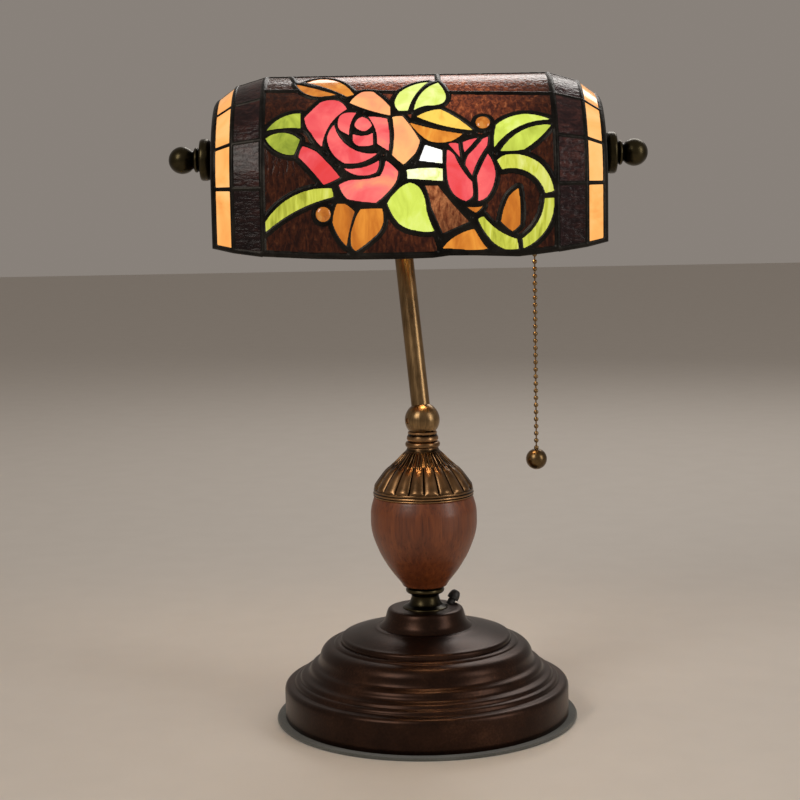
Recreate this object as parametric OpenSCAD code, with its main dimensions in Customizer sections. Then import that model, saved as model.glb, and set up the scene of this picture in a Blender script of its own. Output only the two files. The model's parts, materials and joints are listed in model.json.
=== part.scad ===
// Stained glass table lamp with a tilting half-round shade.
// Millimetres, +Z up, +X to the right of a person who faces the picture side, which looks
// towards -Y. The origin is the centre of the base pad's underside.

/* [Stand] */
// Radius of the felt pad under the base
pad_r = 99.5; // [96:0.5:104]
// Thickness of the felt pad
pad_t = 2; // [1:0.5:3]
// Radius of the base's rim
base_r = 94; // [93:0.5:96]
// Wall thickness of the spun base shell
base_wall = 1.6; // [1:0.1:2.5]
// Height at which the wooden urn starts
urn_z = 87.9; // [86:0.1:90]
// Largest radius of the wooden urn
urn_r = 34.9; // [30:0.1:36]
// Radius of the hollow tie rod
rod_r = 4.9; // [4:0.1:5]

/* [Arm] */
// Height of the knuckle ball's centre
ball_z = 198; // [196:0.5:200]
// Radius of the knuckle ball
ball_r = 11.4; // [11:0.1:12]
// Outside radius of the arm tube
tube_r = 6.1; // [5:0.1:6.5]
// Sideways run of the tube from the ball to the hub, to the left
lean_x = 11.7; // [8:0.1:14]
// Backward run of the tube from the ball to the hub
lean_y = 20; // [16:0.5:24]
// Height of the underside of the yoke's cross bar
yoke_z = 324; // [322:0.5:328]
// Width of the yoke strip
yoke_w = 14; // [12:0.5:16]
// Thickness of the yoke strip
yoke_t = 3; // [2:0.5:3.5]

/* [Shade] */
// Middle of the shade from the stand's axis, to the right
shade_x = -6; // [-8:0.5:-4]
// Height of the tilting axis
tilt_z = 369; // [366:0.5:371]
// Height of the shade's lower edge
edge_z = 309; // [307:0.5:310]
// Height at which the walls turn into the round top
spring_z = 350; // [348:0.5:352]
// Radius of the round top over the middle panel
top_r = 71; // [70:0.5:72]
// Radius of the round top at the seam of the dark and the amber strips
seam_r = 65.5; // [64:0.5:67]
// Radius of the round top at the ends
end_r = 56; // [54:0.5:58]
// Half length of the middle panel
panel_x = 91; // [90:0.5:92]
// Half length out to the seam of the dark and the amber strips
seam_x = 110; // [108:0.5:111]
// Half length out to the end plates
end_x = 123; // [122:0.5:124]
// Thickness of the glass
glass_t = 2.4; // [2:0.1:3]
// Width of a lead line
lead_w = 2.6; // [2.2:0.1:3]
// How far a lead line stands proud of the glass on each side
lead_proud = 0.7; // [0.3:0.1:0.8]

/* [Fittings] */
// Radius of the hollow threaded nipples that the shade tilts on
nipple_r = 4.9; // [4.5:0.1:5]
// Radial clearance of the running fits
run_fit = 0.06; // [0.03:0.01:0.1]
// Gap between flat faces that move past each other
face_gap = 0.3; // [0.2:0.05:0.4]
// Radius of the finials' flange
finial_r = 13.6; // [12:0.1:15]
// Distance from the shade's middle to a finial's tip
finial_tip = 156.5; // [154:0.5:158]
// Bulb centre from the shade's middle, to the right
bulb_x = 10; // [6:0.5:12]
// Radius of the bulb
bulb_r = 27; // [24:0.5:30]
// Pull chain from the shade's middle, to the right
chain_x = 81; // [78:0.5:84]
// Height of the centre of the pull chain's end ball
chain_end_z = 169.6; // [165:0.1:185]
// Radius of the end ball
end_ball_r = 6.9; // [6:0.1:8]
// Radius of a chain bead
bead_r = 1.6; // [1.4:0.05:1.8]
// Pitch of the chain beads
bead_pitch = 4.7; // [4.4:0.1:5]

/* [Hidden] */
$fn = 96;
tilt_y = lean_y;
chain_y = tilt_y - 13;
boss_z = 60.8;
foot_z = 73;
gland_x = 17;
gland_y = 10.6;
gland_lean = 35;
neck_z = 180;
ring_z = 184;
arm_rise = yoke_z - 2 - ball_z;
arm_back = atan(sqrt(lean_x * lean_x + lean_y * lean_y) / arm_rise);
arm_turn = atan2(lean_y, -lean_x);
arm_length = sqrt(lean_x * lean_x + lean_y * lean_y + arm_rise * arm_rise);
hub_x = -lean_x;
wall_h = spring_z - edge_z;
crest_z = spring_z + top_r;
arc_steps = 5;
solder_r = lead_w / 2;
plate_in = end_x - glass_t;
yoke_in = 113;

// ---- Outlines of the picture on the front panel ----
// A piece is a clockwise list of corners [x, h, sag] in the front view, x from the shade's
// middle and h above the lower edge. The side that starts at a corner is an arc whose
// middle stands sag outside the straight line, or inside it when sag is negative.

ROSE = [
    [[-64.5, 84, 0], [-55, 93.4, 1], [-44, 94.6, 1], [-38, 89, -3.5], [-53.5, 65.5, 0.5], [-60, 74, 1]],
    [[-36.5, 93, 0.8], [-28.5, 100, 0.3], [-21.5, 100, 0.5], [-11, 90, 0], [-11, 84.5, 0.8]],
    [[-43.5, 82, 1], [-39.5, 86.5, 0.5], [-32, 86.5, -1.5], [-36.5, 72.5, 0], [-42, 75.5, 1]],
    [[-33.5, 78.5, 1.2], [-28.5, 84, 1.2], [-22.5, 78.5, 0.5], [-27, 75, 1]],
    [[-34.5, 73.5, -1.5], [-22, 74, 0], [-22, 66.5, 0.5], [-31, 66, 0.5], [-34.5, 69, 0]],
    [[-25, 84, 0.5], [-13, 82.5, 1], [-12.5, 62.5, 0], [-19.5, 67, -1.8]],
    [[-46, 79.5, -6.5], [-19, 61.5, 2.5], [-40, 55.5, 2.5], [-50.5, 71, 0.7]],
    [[-40.5, 52.5, -2], [-18.5, 57, 0.8], [-20.5, 49.5, 3.2]],
    [[-65.5, 66.5, 0.3], [-57, 63, 0.5], [-42.5, 47, 0.3], [-53, 42.5, -0.5], [-68, 59.5, 0.5]],
    [[-10, 83.5, 0.3], [-3.5, 84, 0.5], [7, 68.5, 0.3], [4, 61, 0.2], [-3.5, 54, 0.2], [-10.5, 60, -1.2]],
    [[-43.5, 42.5, 0.3], [-35.5, 45.5, -0.8], [-18, 47.5, -0.6], [-14.5, 57, 0.5],
        [-6.8, 50, 0.4], [-8.6, 43, 0.8], [-21, 31, 0.4], [-38.5, 33.5, 0.8]]
];
BUD = [
    [[23.5, 63, 0.3], [28, 59.5, -1], [38.5, 43, 0.3], [39, 34.5, 0.5], [34.5, 31, 0.5],
        [27.5, 35, 0.8], [23.3, 45, 0.6]],
    [[24, 66.5, 0.3], [30.5, 66.5, 0], [31.5, 57.5, 0]],
    [[33, 67, 0.5], [42.5, 69.5, 0], [34, 60.5, 0]],
    [[45.5, 69, 0], [49, 70.5, 0], [48.5, 65, -1], [38.5, 46.5, 0], [34.5, 53, 0.6], [37, 60, -0.3]],
    [[48.5, 60, 1], [53, 47.5, 1], [48.5, 34.5, 0.8], [42, 31, -0.3], [41.5, 46, 0.3]]
];
GREEN = [
    [[-88, 76.3, 3], [-66.8, 87, 0], [-66.5, 77.5, -0.8]],
    [[-88.5, 71.5, 4], [-67, 70.5, 0.3], [-71, 61, 3]],
    [[-8.5, 92.5, 0.5], [-5, 99.5, 1.5], [13.5, 106, -2], [0, 87.5, 0.2], [-6, 87.5, 0.5]],
    [[19.5, 105.5, 0.5], [24, 97, 1], [21, 91.5, 0.5], [12, 90.5, -0.5], [3.5, 87.5, 3.6]],
    [[52.5, 63.5, 0.6], [54, 77.5, 1.5], [72, 84, 1], [88.5, 80, -5]],
    [[56, 61.2, 5.2], [88.5, 77, 1], [71, 62, 0.4]],
    [[-14, 30.5, 0.5], [-8.4, 37.6, 0.8], [0, 43, 1], [7, 38.5, 0.8], [10, 27, -0.5],
        [15, 13, 0.6], [3.5, 13.5, 0.8], [-7, 18, 0.8]]
];
GOLD = [
    [[-64.5, 107, 6.3], [-33.5, 98.3, 0], [-38, 97, -1]],
    [[-70.5, 106, 0], [-44.5, 98.4, 0.2], [-55, 97.3, 0.6], [-64.5, 99.8, 0.6]],
    [[5, 83.5, 1], [20, 88, 1], [40, 74.3, 1.6]],
    [[0.5, 80, -0.7], [33.5, 72.3, 0.3], [26.5, 68, 0.5], [16.5, 67.3, 0.8], [8.5, 71, 0.5]],
    [[-45, 31, 0], [-40, 30.8, 0.3], [-34, 26, -0.5], [-39.5, 4.5, 1.2], [-48, 19.5, 0.5]],
    [[-30.5, 27.3, 0.3], [-17, 27.5, 0.3], [-16.5, 19, 1], [-23, 9.5, 0.3], [-34, 1.5, 0.3],
        [-36.7, 5, 1], [-35, 18, 0.5]],
    [[19.5, 2, 0.5], [26, 8.5, 0.8], [39.5, 14, 0], [43, 8, -0.3], [48, 1.5, 0.4], [33.5, 1.2, -0.3]],
    [[67, 38.5, 0.8], [67.8, 16, 0.3], [63, 12, 0.3], [56, 18, 0.8], [61, 33.5, 0.4]],
    [[34.5, 28, -0.8], [45, 28, 0.4], [40.5, 23.8, 0.3]]
];
RIBBONS = [
    [[-89.4, 14, 0], [-89.4, 20.5, 6.4], [-48, 40.5, 0.3], [-47, 35, -3]],
    [[54, 55.5, 0.5], [59.5, 59, 2.5], [81, 53, 1.5], [89, 36.3, 0], [83.5, 35, -6.3], [57, 50, 0]],
    [[83, 32, 0], [89, 32.3, 6], [69.8, 1.3, 0], [69, 7.5, -3.5]],
    [[41.8, 20, 0.3], [45.5, 21.5, -2], [66, 7.3, 0], [67, 1.2, 0.3], [58.5, 1, 1], [48.5, 8.5, 0.6]]
];
ACCENTS = [
    [[10, 66, 0], [20.7, 62.5, 0], [20.7, 54.2, 0], [6, 56.3, 0]],
    [[-2, 50.8, 0.8], [20.7, 51.3, 0], [20.7, 43.5, 0], [-1.5, 45.5, -0.4]],
    [[9.5, 41, 0], [17.5, 40.8, -0.5], [36.5, 18.5, 0], [20, 11.5, 0], [13, 28, -0.5]]
];
// Centre x and h, and radius, of the pressed glass jewels
JEWELS = [[46, 79, 4.2], [-53.5, 24.5, 4.4]];
// Lead lines between pieces of the dark ground, from point to point
LINES = [
    [[-91, 102], [91, 97]], [[-76, 112], [-70.5, 106]], [[19.5, 105], [19.5, 114]],
    [[-91, 74], [-88, 74]], [[-47.5, 38], [-43, 33]], [[-54, 43], [-56, 39]],
    [[-53.5, 24.5], [-48, 22]], [[-37.5, 4], [-37, -4]], [[-16, 24], [-10, 22]],
    [[15, 13], [18.5, 2]], [[40, 74.3], [46, 79]], [[46, 79], [54, 76]],
    [[88, 78.5], [91, 78.5]], [[88, 34.2], [92, 34.2]], [[68, 3], [68, -4]],
    [[40.5, 24], [43, 20.5]], [[20, 11.5], [19.5, 2]], [[49, 67], [53, 66]], [[63, 12], [60, 8]]
];
// Lower edge of the front panel, which waves where the pieces above it end
HEM = [[-92, 0.4], [-60, -1.6], [-36, -2.4], [-8, -2.6], [14, -2.2], [24, -1], [40, -1.2],
    [67, -2.3], [80, -1], [92, 0.4]];

function mid(a, b) = (a + b) / 2;
function left_of(a, b) = [a[1] - b[1], b[0] - a[0]] / norm(b - a);
// Points of the side from a to b, without b, as an arc that stands s off to the left
function side(a, b, s) =
    abs(s) < 0.01 ? [a] :
    let (c = norm(b - a), r = (c * c / 4 + s * s) / (2 * abs(s)), k = sign(s),
        m = mid(a, b) + left_of(a, b) * (s - k * r),
        u = (a - m), turn = -k * 2 * asin(min(1, c / (2 * r))))
    [for (i = [0 : arc_steps - 1]) let (t = turn * i / arc_steps)
        m + [u[0] * cos(t) - u[1] * sin(t), u[0] * sin(t) + u[1] * cos(t)]];
function outline(p) = [for (i = [0 : len(p) - 1])
    let (a = p[i], b = p[(i + 1) % len(p)]) each side([a[0], a[1]], [b[0], b[1]], a[2])];

module pieces(list) for (p = list) polygon(outline(p));
module dots() for (j = JEWELS) translate([j[0], j[1]]) circle(j[2], $fn = 24);
module strokes() for (l = LINES) let (a = l[0], b = l[1], n = left_of(a, b) * lead_w / 2)
    polygon([a + n, b + n, b - n, a - n]);
module picture() {
    pieces(ROSE); pieces(BUD); pieces(GREEN); pieces(GOLD); pieces(RIBBONS); pieces(ACCENTS);
    dots();
}
module field(grow) polygon(concat([for (p = HEM) [p[0] < -91 ? -panel_x - grow : p[0] > 91 ?
    panel_x + grow : p[0], p[1] - grow]], [[panel_x + grow, 130], [-panel_x - grow, 130]]));
// The dark ground is what the picture and the lead lines leave of the front panel
module ground() offset(delta = 0.5) offset(delta = -0.5) difference() {
    offset(delta = -lead_w) field(0);
    offset(delta = lead_w) picture();
    strokes();
}

// ---- Helpers ----
// Extrudes a front-view outline through the front half of the shade
module front_view() translate([shade_x, tilt_y, edge_z]) rotate([90, 0, 0])
    linear_extrude(top_r * 2) children();
module behind() translate([0, tilt_y * 2, 0]) mirror([0, 1, 0]) children();
module along_x(x, y, z) translate([x, y, z]) rotate([0, 90, 0]) children();
module hex(across, h) cylinder(d = across / cos(30), h = h, $fn = 6);
module ring(r, hole, h) difference() {
    cylinder(r = r, h = h);
    translate([0, 0, -1]) cylinder(r = hole, h = h + 2);
}
module spin(points) rotate_extrude() polygon(points);
// The middle panel as a bent sheet, from r_in to r_out, one side of the crest only
module bent_sheet(r_in, r_out, half) intersection() {
    translate([shade_x - half, tilt_y, spring_z]) rotate([0, 90, 0]) difference() {
        union() {
            cylinder(r = r_out, h = half * 2);
            translate([0, -r_out, 0]) cube([wall_h + 4, r_out * 2, half * 2]);
        }
        translate([0, 0, -1]) cylinder(r = r_in, h = half * 2 + 2);
        translate([0, -r_in, -1]) cube([wall_h + 9, r_in * 2, half * 2 + 2]);
    }
    translate([shade_x - half, tilt_y - top_r * 2, edge_z - 4])
        cube([half * 2, top_r * 2 - lead_w / 2, 200]);
}
module glass(half = panel_x) intersection() {
    bent_sheet(top_r - glass_t, top_r, half);
    front_view() offset(delta = 0.001) children();
}

// ---- Stand ----
module base_pad() color("darkslategray") cylinder(r = pad_r, h = pad_t);
module base_plate() color("dimgray") translate([0, 0, pad_t]) ring(91, rod_r + 0.3, 1.2);
module base_weight() color("black") translate([0, 0, pad_t + 1.2]) ring(66, rod_r + 0.3, 24);
module base_shell() color("#4a3a28") spin([
    [base_r - base_wall, pad_t], [base_r, pad_t], [base_r, 20.4], [93.7, 22], [92.9, 23.3],
    [91.6, 24.1], [90, 24.4], [88, 24.7], [87.3, 25.3], [87, 26.2], [86.4, 27.1], [84.4, 27.8],
    [83.3, 29], [82.8, 29.8], [80.4, 30.8], [78.6, 31.5], [77.4, 32.8], [76.8, 34.4], [76, 35.7],
    [73, 37.2], [71.8, 38], [70.4, 41.4], [69.8, 44], [68.4, 46.4], [66.4, 48.2], [64, 49.2],
    [61.4, 49.8], [59.4, 51.2], [56.4, 51.6], [56.3, 53], [55, 54.9], [53.2, 55.4], [44, 58.2],
    [35, 60.1], [31, boss_z], [15, boss_z], [15, boss_z - 1.6], [34, 58.4], [43, 56.5],
    [52, 53.8], [54.6, 53], [54.8, 50.2], [60.6, 48.2], [64.6, 46.8], [67, 44.8], [68.2, 42],
    [69.4, 38], [71.4, 35.8], [74.6, 34.2], [75.4, 31.8], [78, 29.6], [81.6, 28], [85.2, 24.2],
    [87, 23.1], [90.6, 22.5], [base_r - base_wall, 20.6]
]);
module base_boss() color("#3a2e22") difference() {
    spin([[15, boss_z], [31, boss_z], [29.6, 61.8], [27.6, 64.2], [26.2, 67.6], [25.2, 70.8],
        [24.2, 72.4], [22.4, foot_z], [10.5, foot_z], [10.5, 67], [15, 67]]);
    at_gland() translate([0, 0, -14]) cylinder(r = 2.6, h = 24);
}
module at_gland() translate([gland_x, gland_y, foot_z]) rotate([0, gland_lean, atan2(gland_y, gland_x)])
    children();
module cord_gland() color("#1c1a18") at_gland() difference() {
    spin([[0, -6.5], [2.5, -6.5], [2.5, 2.9], [3.8, 2.9], [3.8, 5.4], [3, 7.8], [2, 8.8], [0, 9]]);
    translate([0, 0, -10]) cylinder(r = 1.6, h = 21);
}
module tie_rod() color("gray") translate([0, 0, 4]) ring(rod_r, 3.4, 154);
module rod_nuts() color("silver") for (z = [27.2, 151.5]) translate([0, 0, z]) difference() {
    hex(14, 4);
    translate([0, 0, -1]) cylinder(r = rod_r, h = 6);
}
module stem_foot() color("#2a2018") spin([
    [rod_r + 0.1, foot_z], [14.9, foot_z], [14.6, 74], [11.4, 75.2], [9.6, 78], [9.1, 80.8], [9.8, 82.6],
    [12.2, 83.6], [12.6, 85], [12.2, 86.6], [13, 87.4], [13.2, urn_z], [rod_r + 0.1, urn_z]
]);
module urn() color("#7a3a20") spin([
    [rod_r + 0.1, urn_z], [14.6, urn_z], [16.5, 91.3], [19.2, 94.6], [21.8, 98], [24.1, 101.4],
    [26.1, 104.7], [28.1, 108.1], [29.7, 111.5], [31, 114.8], [32.3, 118.2], [33.6, 121.5],
    [34.3, 124.9], [urn_r, 128], [urn_r, 138], [34.2, 141.6], [33.2, 144.9], [32.4, 148],
    [rod_r + 0.1, 148]
]);
module cap() color("#8a6a3c") spin([
    [rod_r + 0.1, 148], [32.8, 148], [33.2, 149], [32.8, 150], [33, 151], [32.6, 152.4],
    [31.9, 154.9], [29.5, 158.3], [27.2, 161.6], [24.9, 164.9], [21, 168.2], [17.4, 171.5],
    [14.1, 174.9], [10.6, 178.4], [10.1, neck_z], [8.6, neck_z], [8.6, 177],
    [11, 175], [14.6, 170.6], [18.4, 167], [22.2, 163.6], [24.6, 160.4], [27, 157],
    [28.6, 153.5], [28.6, 151.5], [rod_r + 0.1, 151.5]
]);
module neck_collar() color("#8a6a3c") spin([
    [5 + run_fit, 175.5], [8.5, 175.5], [8.5, neck_z + 0.01], [10.4, neck_z + 0.01], [11.3, 181.2],
    [11.4, 182.5], [10.8, 183.6], [9.6, ring_z], [5 + run_fit, ring_z]
]);

// ---- Swivel and arm ----
// Turns an upright shape so that its X axis is the knuckle's hinge axis
module knuckle_frame() translate([0, 0, ball_z]) rotate([0, 0, arm_turn - 90]) children();
// Sets an upright shape that starts at the ball's centre along the tube
module along_arm() translate([0, 0, ball_z]) rotate([0, 0, arm_turn]) rotate([0, arm_back, 0])
    children();
module swivel_post() color("#8a6a3c") difference() {
    union() {
        difference() {
            spin([[0, 165], [5, 165], [5, ring_z + face_gap], [9.8, ring_z + face_gap],
                [10.4, 185.6], [10.2, 187], [9.4, 188.4], [9.6, 189.8], [9.2, 190.4], [0, 190.4]]);
            translate([0, 0, ball_z]) sphere(r = ball_r + face_gap);
        }
        knuckle_frame() translate([-2.5, 0, 0]) {
            rotate([0, 90, 0]) cylinder(r = 8.6, h = 5);
            translate([0, -4.4, -13.4]) cube([5, 8.8, 13.4]);
        }
    }
    translate([0, 0, 160]) cylinder(r = 2, h = 26);
    knuckle_frame() translate([-5, 0, 0]) rotate([0, 90, 0]) cylinder(r = 2 + run_fit, h = 10);
}
module swivel_nut() color("silver") difference() {
    union() {
        translate([0, 0, 168.5]) hex(14, 4);
        translate([0, 0, 172.5]) cylinder(r = 7.4, h = 2.7);
    }
    translate([0, 0, 160]) cylinder(r = 5, h = 20);
}
module knuckle_ball() color("#9a7840") difference() {
    translate([0, 0, ball_z]) sphere(r = ball_r);
    knuckle_frame() translate([-2.5 - face_gap, 0, 0]) {
        rotate([0, 90, 0]) cylinder(r = 9.2, h = 5 + face_gap * 2);
        rotate([90, 0, 90]) linear_extrude(5 + face_gap * 2)
            polygon([[0, 0], [-20, -14], [-20, -20], [20, -20], [20, -14]]);
    }
    knuckle_frame() translate([-15, 0, 0]) rotate([0, 90, 0]) cylinder(r = 2, h = 30);
    along_arm() translate([0, 0, 9.4]) cylinder(r = tube_r, h = 5);
}
module knuckle_screw() color("#6a522c") knuckle_frame() translate([-10.6, 0, 0])
    rotate([0, 90, 0]) cylinder(r = 2, h = 21.2);
module arm_tube() color("#9a7840") along_arm() translate([0, 0, 9.4])
    ring(tube_r, 4.6, arm_length - 15);
module arm_hub() color("#8a6a3c") translate([hub_x, tilt_y, 0]) difference() {
    union() {
        translate([0, 0, 311]) cylinder(r = 9, h = yoke_z - 311);
        translate([0, 0, yoke_z]) cylinder(r = rod_r, h = 11);
    }
    translate([lean_x, -lean_y, 0]) along_arm() translate([0, 0, 60])
        cylinder(r = tube_r, h = arm_length - 65.6);
    translate([0, 0, 311]) cylinder(r = 3.2, h = 30);
}
module hub_nut() color("silver") translate([hub_x, tilt_y, yoke_z + yoke_t]) difference() {
    hex(14, 4);
    translate([0, 0, -1]) cylinder(r = rod_r, h = 6);
}
module yoke_profile(out) translate([-yoke_in - out, yoke_z + yoke_t - out])
    offset(r = 6 + out) offset(delta = -6 - out) square([(yoke_in + out) * 2, 90]);
module yoke() color("#8a6a3c") difference() {
    intersection() {
        translate([shade_x, tilt_y + yoke_w / 2, 0]) rotate([90, 0, 0]) linear_extrude(yoke_w)
            difference() {
                yoke_profile(yoke_t);
                yoke_profile(0);
            }
        union() {
            translate([-150, tilt_y - 20, 300]) cube([300, 40, tilt_z - 300]);
            along_x(-150, tilt_y, tilt_z) cylinder(r = yoke_w / 2, h = 300);
        }
    }
    along_x(-150, tilt_y, tilt_z) cylinder(r = nipple_r, h = 300);
    translate([hub_x, tilt_y, 300]) cylinder(r = rod_r, h = 40);
}

// ---- Tilting axis, lamp holder and bulb ----
module nipples() color("silver") for (k = [-1, 1])
    along_x(shade_x + (k < 0 ? -138 : 100), tilt_y, tilt_z) ring(nipple_r, 3.4, 38);
module nipple_nuts() color("silver") for (x = [-yoke_in, yoke_in - 4])
    along_x(shade_x + x, tilt_y, tilt_z) difference() {
        hex(14, 4);
        translate([0, 0, -1]) cylinder(r = nipple_r, h = 6);
    }
module friction_washers() color("#202020") for (x = [-118, 116])
    along_x(shade_x + x, tilt_y, tilt_z) ring(9, nipple_r, 2);
module socket_cap() color("#b08a4a") along_x(shade_x, tilt_y, tilt_z) difference() {
    spin([[0, 88], [19.4, 88], [19.4, 92], [18.6, 97], [15, 103], [10, 106], [8.4, 109], [0, 109]]);
    spin([[0, 87], [18.2, 87], [18.2, 92], [17.4, 96.4], [14.2, 101.6], [0, 104]]);
    translate([0, 0, 99]) cylinder(r = nipple_r, h = 12);
}
module socket_shell() color("#b08a4a") difference() {
    along_x(shade_x, tilt_y, tilt_z) spin([[17, 54], [18.6, 54], [19, 58], [19, 86], [19.4, 88], [18, 88],
        [17.4, 86], [17.4, 58]]);
    translate([shade_x + chain_x, chain_y, tilt_z - 30]) cylinder(r = 2.6, h = 24);
}
module socket_insert() color("#f2efe6") difference() {
    along_x(shade_x, tilt_y, tilt_z) spin([[13.6, 55], [16.8, 55], [17.2, 60], [17.2, 87], [0, 87],
        [0, 85.5], [13.6, 85.5]]);
    translate([shade_x + chain_x, chain_y, tilt_z - 30]) cylinder(r = 2.6, h = 24);
}
module chain_guide() color("#b08a4a") translate([shade_x + chain_x, chain_y, tilt_z - 26]) difference() {
    spin([[0, 0], [4.6, 0], [4.2, 1.6], [3.2, 3], [2.6, 4.5], [2.6, 16.5], [0, 16.5]]);
    spin([[0, -1], [3.6, -1], [3.4, 0.6], [2.1, 3], [2.1, 18], [0, 18]]);
}
module bulb_cap() color("silver") along_x(shade_x + 57, tilt_y, tilt_z)
    spin([[0, 0], [13.2, 0], [13.2, 22], [8, 26], [4, 28], [0, 28]]);
module bulb_glass() color("#fff4d8") along_x(shade_x + bulb_x, tilt_y, tilt_z) spin(concat(
    [for (a = [-90 : 10 : 50]) [bulb_r * cos(a), bulb_r * sin(a)]],
    [[15.2, 26.5], [13.6, 36], [12.6, 47], [0, 47]]
));

// ---- Glass ----
module glass_rose() color("#e8706a") glass() pieces(ROSE);
module glass_bud() color("#e86a70") glass() pieces(BUD);
module glass_green_leaves() color("#b8d060") glass() pieces(GREEN);
module glass_gold_leaves() color("#d89038") glass() pieces(GOLD);
module glass_ribbons() color("#a8c058") glass() pieces(RIBBONS);
module glass_accents() color("#f4ecc0") glass() pieces(ACCENTS);
module glass_ground() color("#5a3028") glass(panel_x - lead_w / 2) ground();
// A jewel is a domed button that stands proud of the panel
module glass_jewels() color("#e08820") for (j = JEWELS)
    let (z = edge_z + j[1], a = asin(max(0, z - spring_z) / top_r),
        y = z > spring_z ? tilt_y - top_r * cos(a) : tilt_y - top_r)
    translate([shade_x + j[0], y, z]) rotate([a, 0, 0]) rotate([90, 0, 0]) {
        translate([0, 0, -glass_t]) cylinder(r = j[2], h = glass_t);
        intersection() {
            translate([0, 0, -j[2] * 0.7]) sphere(r = j[2] * 1.22);
            cylinder(r = j[2], h = j[2]);
        }
    }
back_x = [-90, -45, 0, 45, 90];
back_h = [2.6, 41, 91.2, 130];
module back_panes() for (i = [0 : 3], k = [0 : 2])
    translate([back_x[i] + lead_w / 2, back_h[k] + (k > 0 ? lead_w / 2 : 0)])
        square([back_x[i + 1] - back_x[i] - lead_w, back_h[k + 1] - back_h[k] - lead_w / 2
            - (k > 0 ? lead_w / 2 : 0)]);
module glass_back() color("#5a3028") behind() glass() back_panes();

// ---- Strips at both ends ----
function r_at(x) = x < seam_x ? top_r + (seam_r - top_r) * (x - panel_x) / (seam_x - panel_x)
    : seam_r + (end_r - seam_r) * (x - seam_x) / (end_x - seam_x);
function edge_at(x) = edge_z + (x < seam_x ? 2.5 * (x - panel_x) / (seam_x - panel_x)
    : 2.5 + 2.5 * (x - seam_x) / (end_x - seam_x));
// A point of the section at x: a is an angle over the round top, or a drop down a wall
function skin(x, a, deep) = let (r = r_at(x) - deep, low = edge_at(x) - spring_z)
    a < 0 ? [x, -r, max(a, low)] : a > 180 ? [x, r, max(180 - a, low)] : [x, -r * cos(a), r * sin(a)];
half_deep = glass_t / 2;
row_breaks = [-wall_h, 0, 25, 52, 90, 128, 155, 180, 180 + wall_h];
pane_gap = lead_w / 2 + 0.05;
row_gap = pane_gap / end_r * 180 / PI;
// One curved pane of a strip, between two places along the shade and two angles
module pane(xa, xb, a0, a1) {
    n = ceil((a1 - a0) / 9);
    c = 2 * n + 2;
    ring_pts = function (x) concat(
        [for (i = [0 : n]) skin(x, a0 + (a1 - a0) * i / n, 0)],
        [for (i = [n : -1 : 0]) skin(x, a0 + (a1 - a0) * i / n, glass_t)]);
    polyhedron(concat(ring_pts(xa), ring_pts(xb)), concat(
        [[for (i = [c - 1 : -1 : 0]) i]], [[for (i = [0 : c - 1]) c + i]],
        [for (i = [0 : c - 1]) let (k = (i + 1) % c) each [[i, k, c + i], [k, c + k, c + i]]]));
}
// The flat pane of a strip below the round top, on the front side
module wall_pane(xa, xb) intersection() {
    translate([0, 0, -wall_h]) linear_extrude(wall_h - pane_gap) polygon([
        [xa, -r_at(xa)], [xb, -r_at(xb)], [xb, glass_t - r_at(xb)], [xa, glass_t - r_at(xa)]]);
    rotate([90, 0, 0]) linear_extrude(top_r * 2) polygon([
        [xa, edge_at(xa) - spring_z + pane_gap], [xa, 1], [xb, 1],
        [xb, edge_at(xb) - spring_z + pane_gap]]);
}
module at_ends() translate([shade_x, tilt_y, spring_z]) {
    children();
    mirror([1, 0, 0]) children();
}
module strip(xa, xb) at_ends() {
    for (i = [1 : 6]) pane(xa, xb, row_breaks[i] + row_gap, row_breaks[i + 1] - row_gap);
    for (back = [0, 1]) mirror([0, back, 0]) wall_pane(xa, xb);
}
module glass_dark_strips() color("#3c2420") strip(panel_x + lead_w / 2, seam_x - pane_gap);
module glass_amber_strips() color("#ffc070") strip(seam_x + pane_gap, end_x - half_deep - pane_gap);
module plate_shape(r) polygon(concat([[-r, edge_at(end_x) - spring_z + end_r - r]],
    [for (a = [0 : 9 : 180]) [-r * cos(a), r * sin(a)]], [[r, edge_at(end_x) - spring_z + end_r - r]]));
module glass_end_plates() color("#5a3028") at_ends() difference() {
    translate([plate_in, 0, 0]) rotate([90, 0, 90]) linear_extrude(glass_t)
        plate_shape(end_r - lead_w);
    translate([100, 0, tilt_z - spring_z]) rotate([0, 90, 0]) cylinder(r = nipple_r + 1, h = 40);
}

// ---- Lead lines ----
module leading_sheet() intersection() {
    bent_sheet(top_r - glass_t - lead_proud, top_r + lead_proud, panel_x + lead_w / 2);
    front_view() offset(delta = 0.001) children();
}
module crest_line() translate([shade_x - panel_x - lead_w / 2, tilt_y - lead_w / 2,
    crest_z - glass_t - lead_proud]) cube([panel_x * 2 + lead_w, lead_w, glass_t + lead_proud * 2 - 0.1]);
module leading_front() color("#15130f") {
    leading_sheet() difference() {
        field(lead_w / 2);
        picture();
        intersection() {
            ground();
            square([(panel_x - lead_w / 2) * 2, 300], center = true);
        }
    }
    crest_line();
}
module leading_back() color("#15130f") behind() leading_sheet() difference() {
    translate([-panel_x - lead_w / 2, 0]) square([panel_x * 2 + lead_w, 130]);
    back_panes();
}
module bar(a, b) hull() {
    translate(a) sphere(r = solder_r, $fn = 8);
    translate(b) sphere(r = solder_r, $fn = 8);
}
module rib(x) for (i = [0 : 7]) let (a0 = row_breaks[i], a1 = row_breaks[i + 1],
    n = a0 < 0 || a1 > 180 ? 1 : ceil((a1 - a0) / 13)) for (k = [0 : n - 1])
    bar(skin(x, a0 + (a1 - a0) * k / n, half_deep), skin(x, a0 + (a1 - a0) * (k + 1) / n, half_deep));
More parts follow.
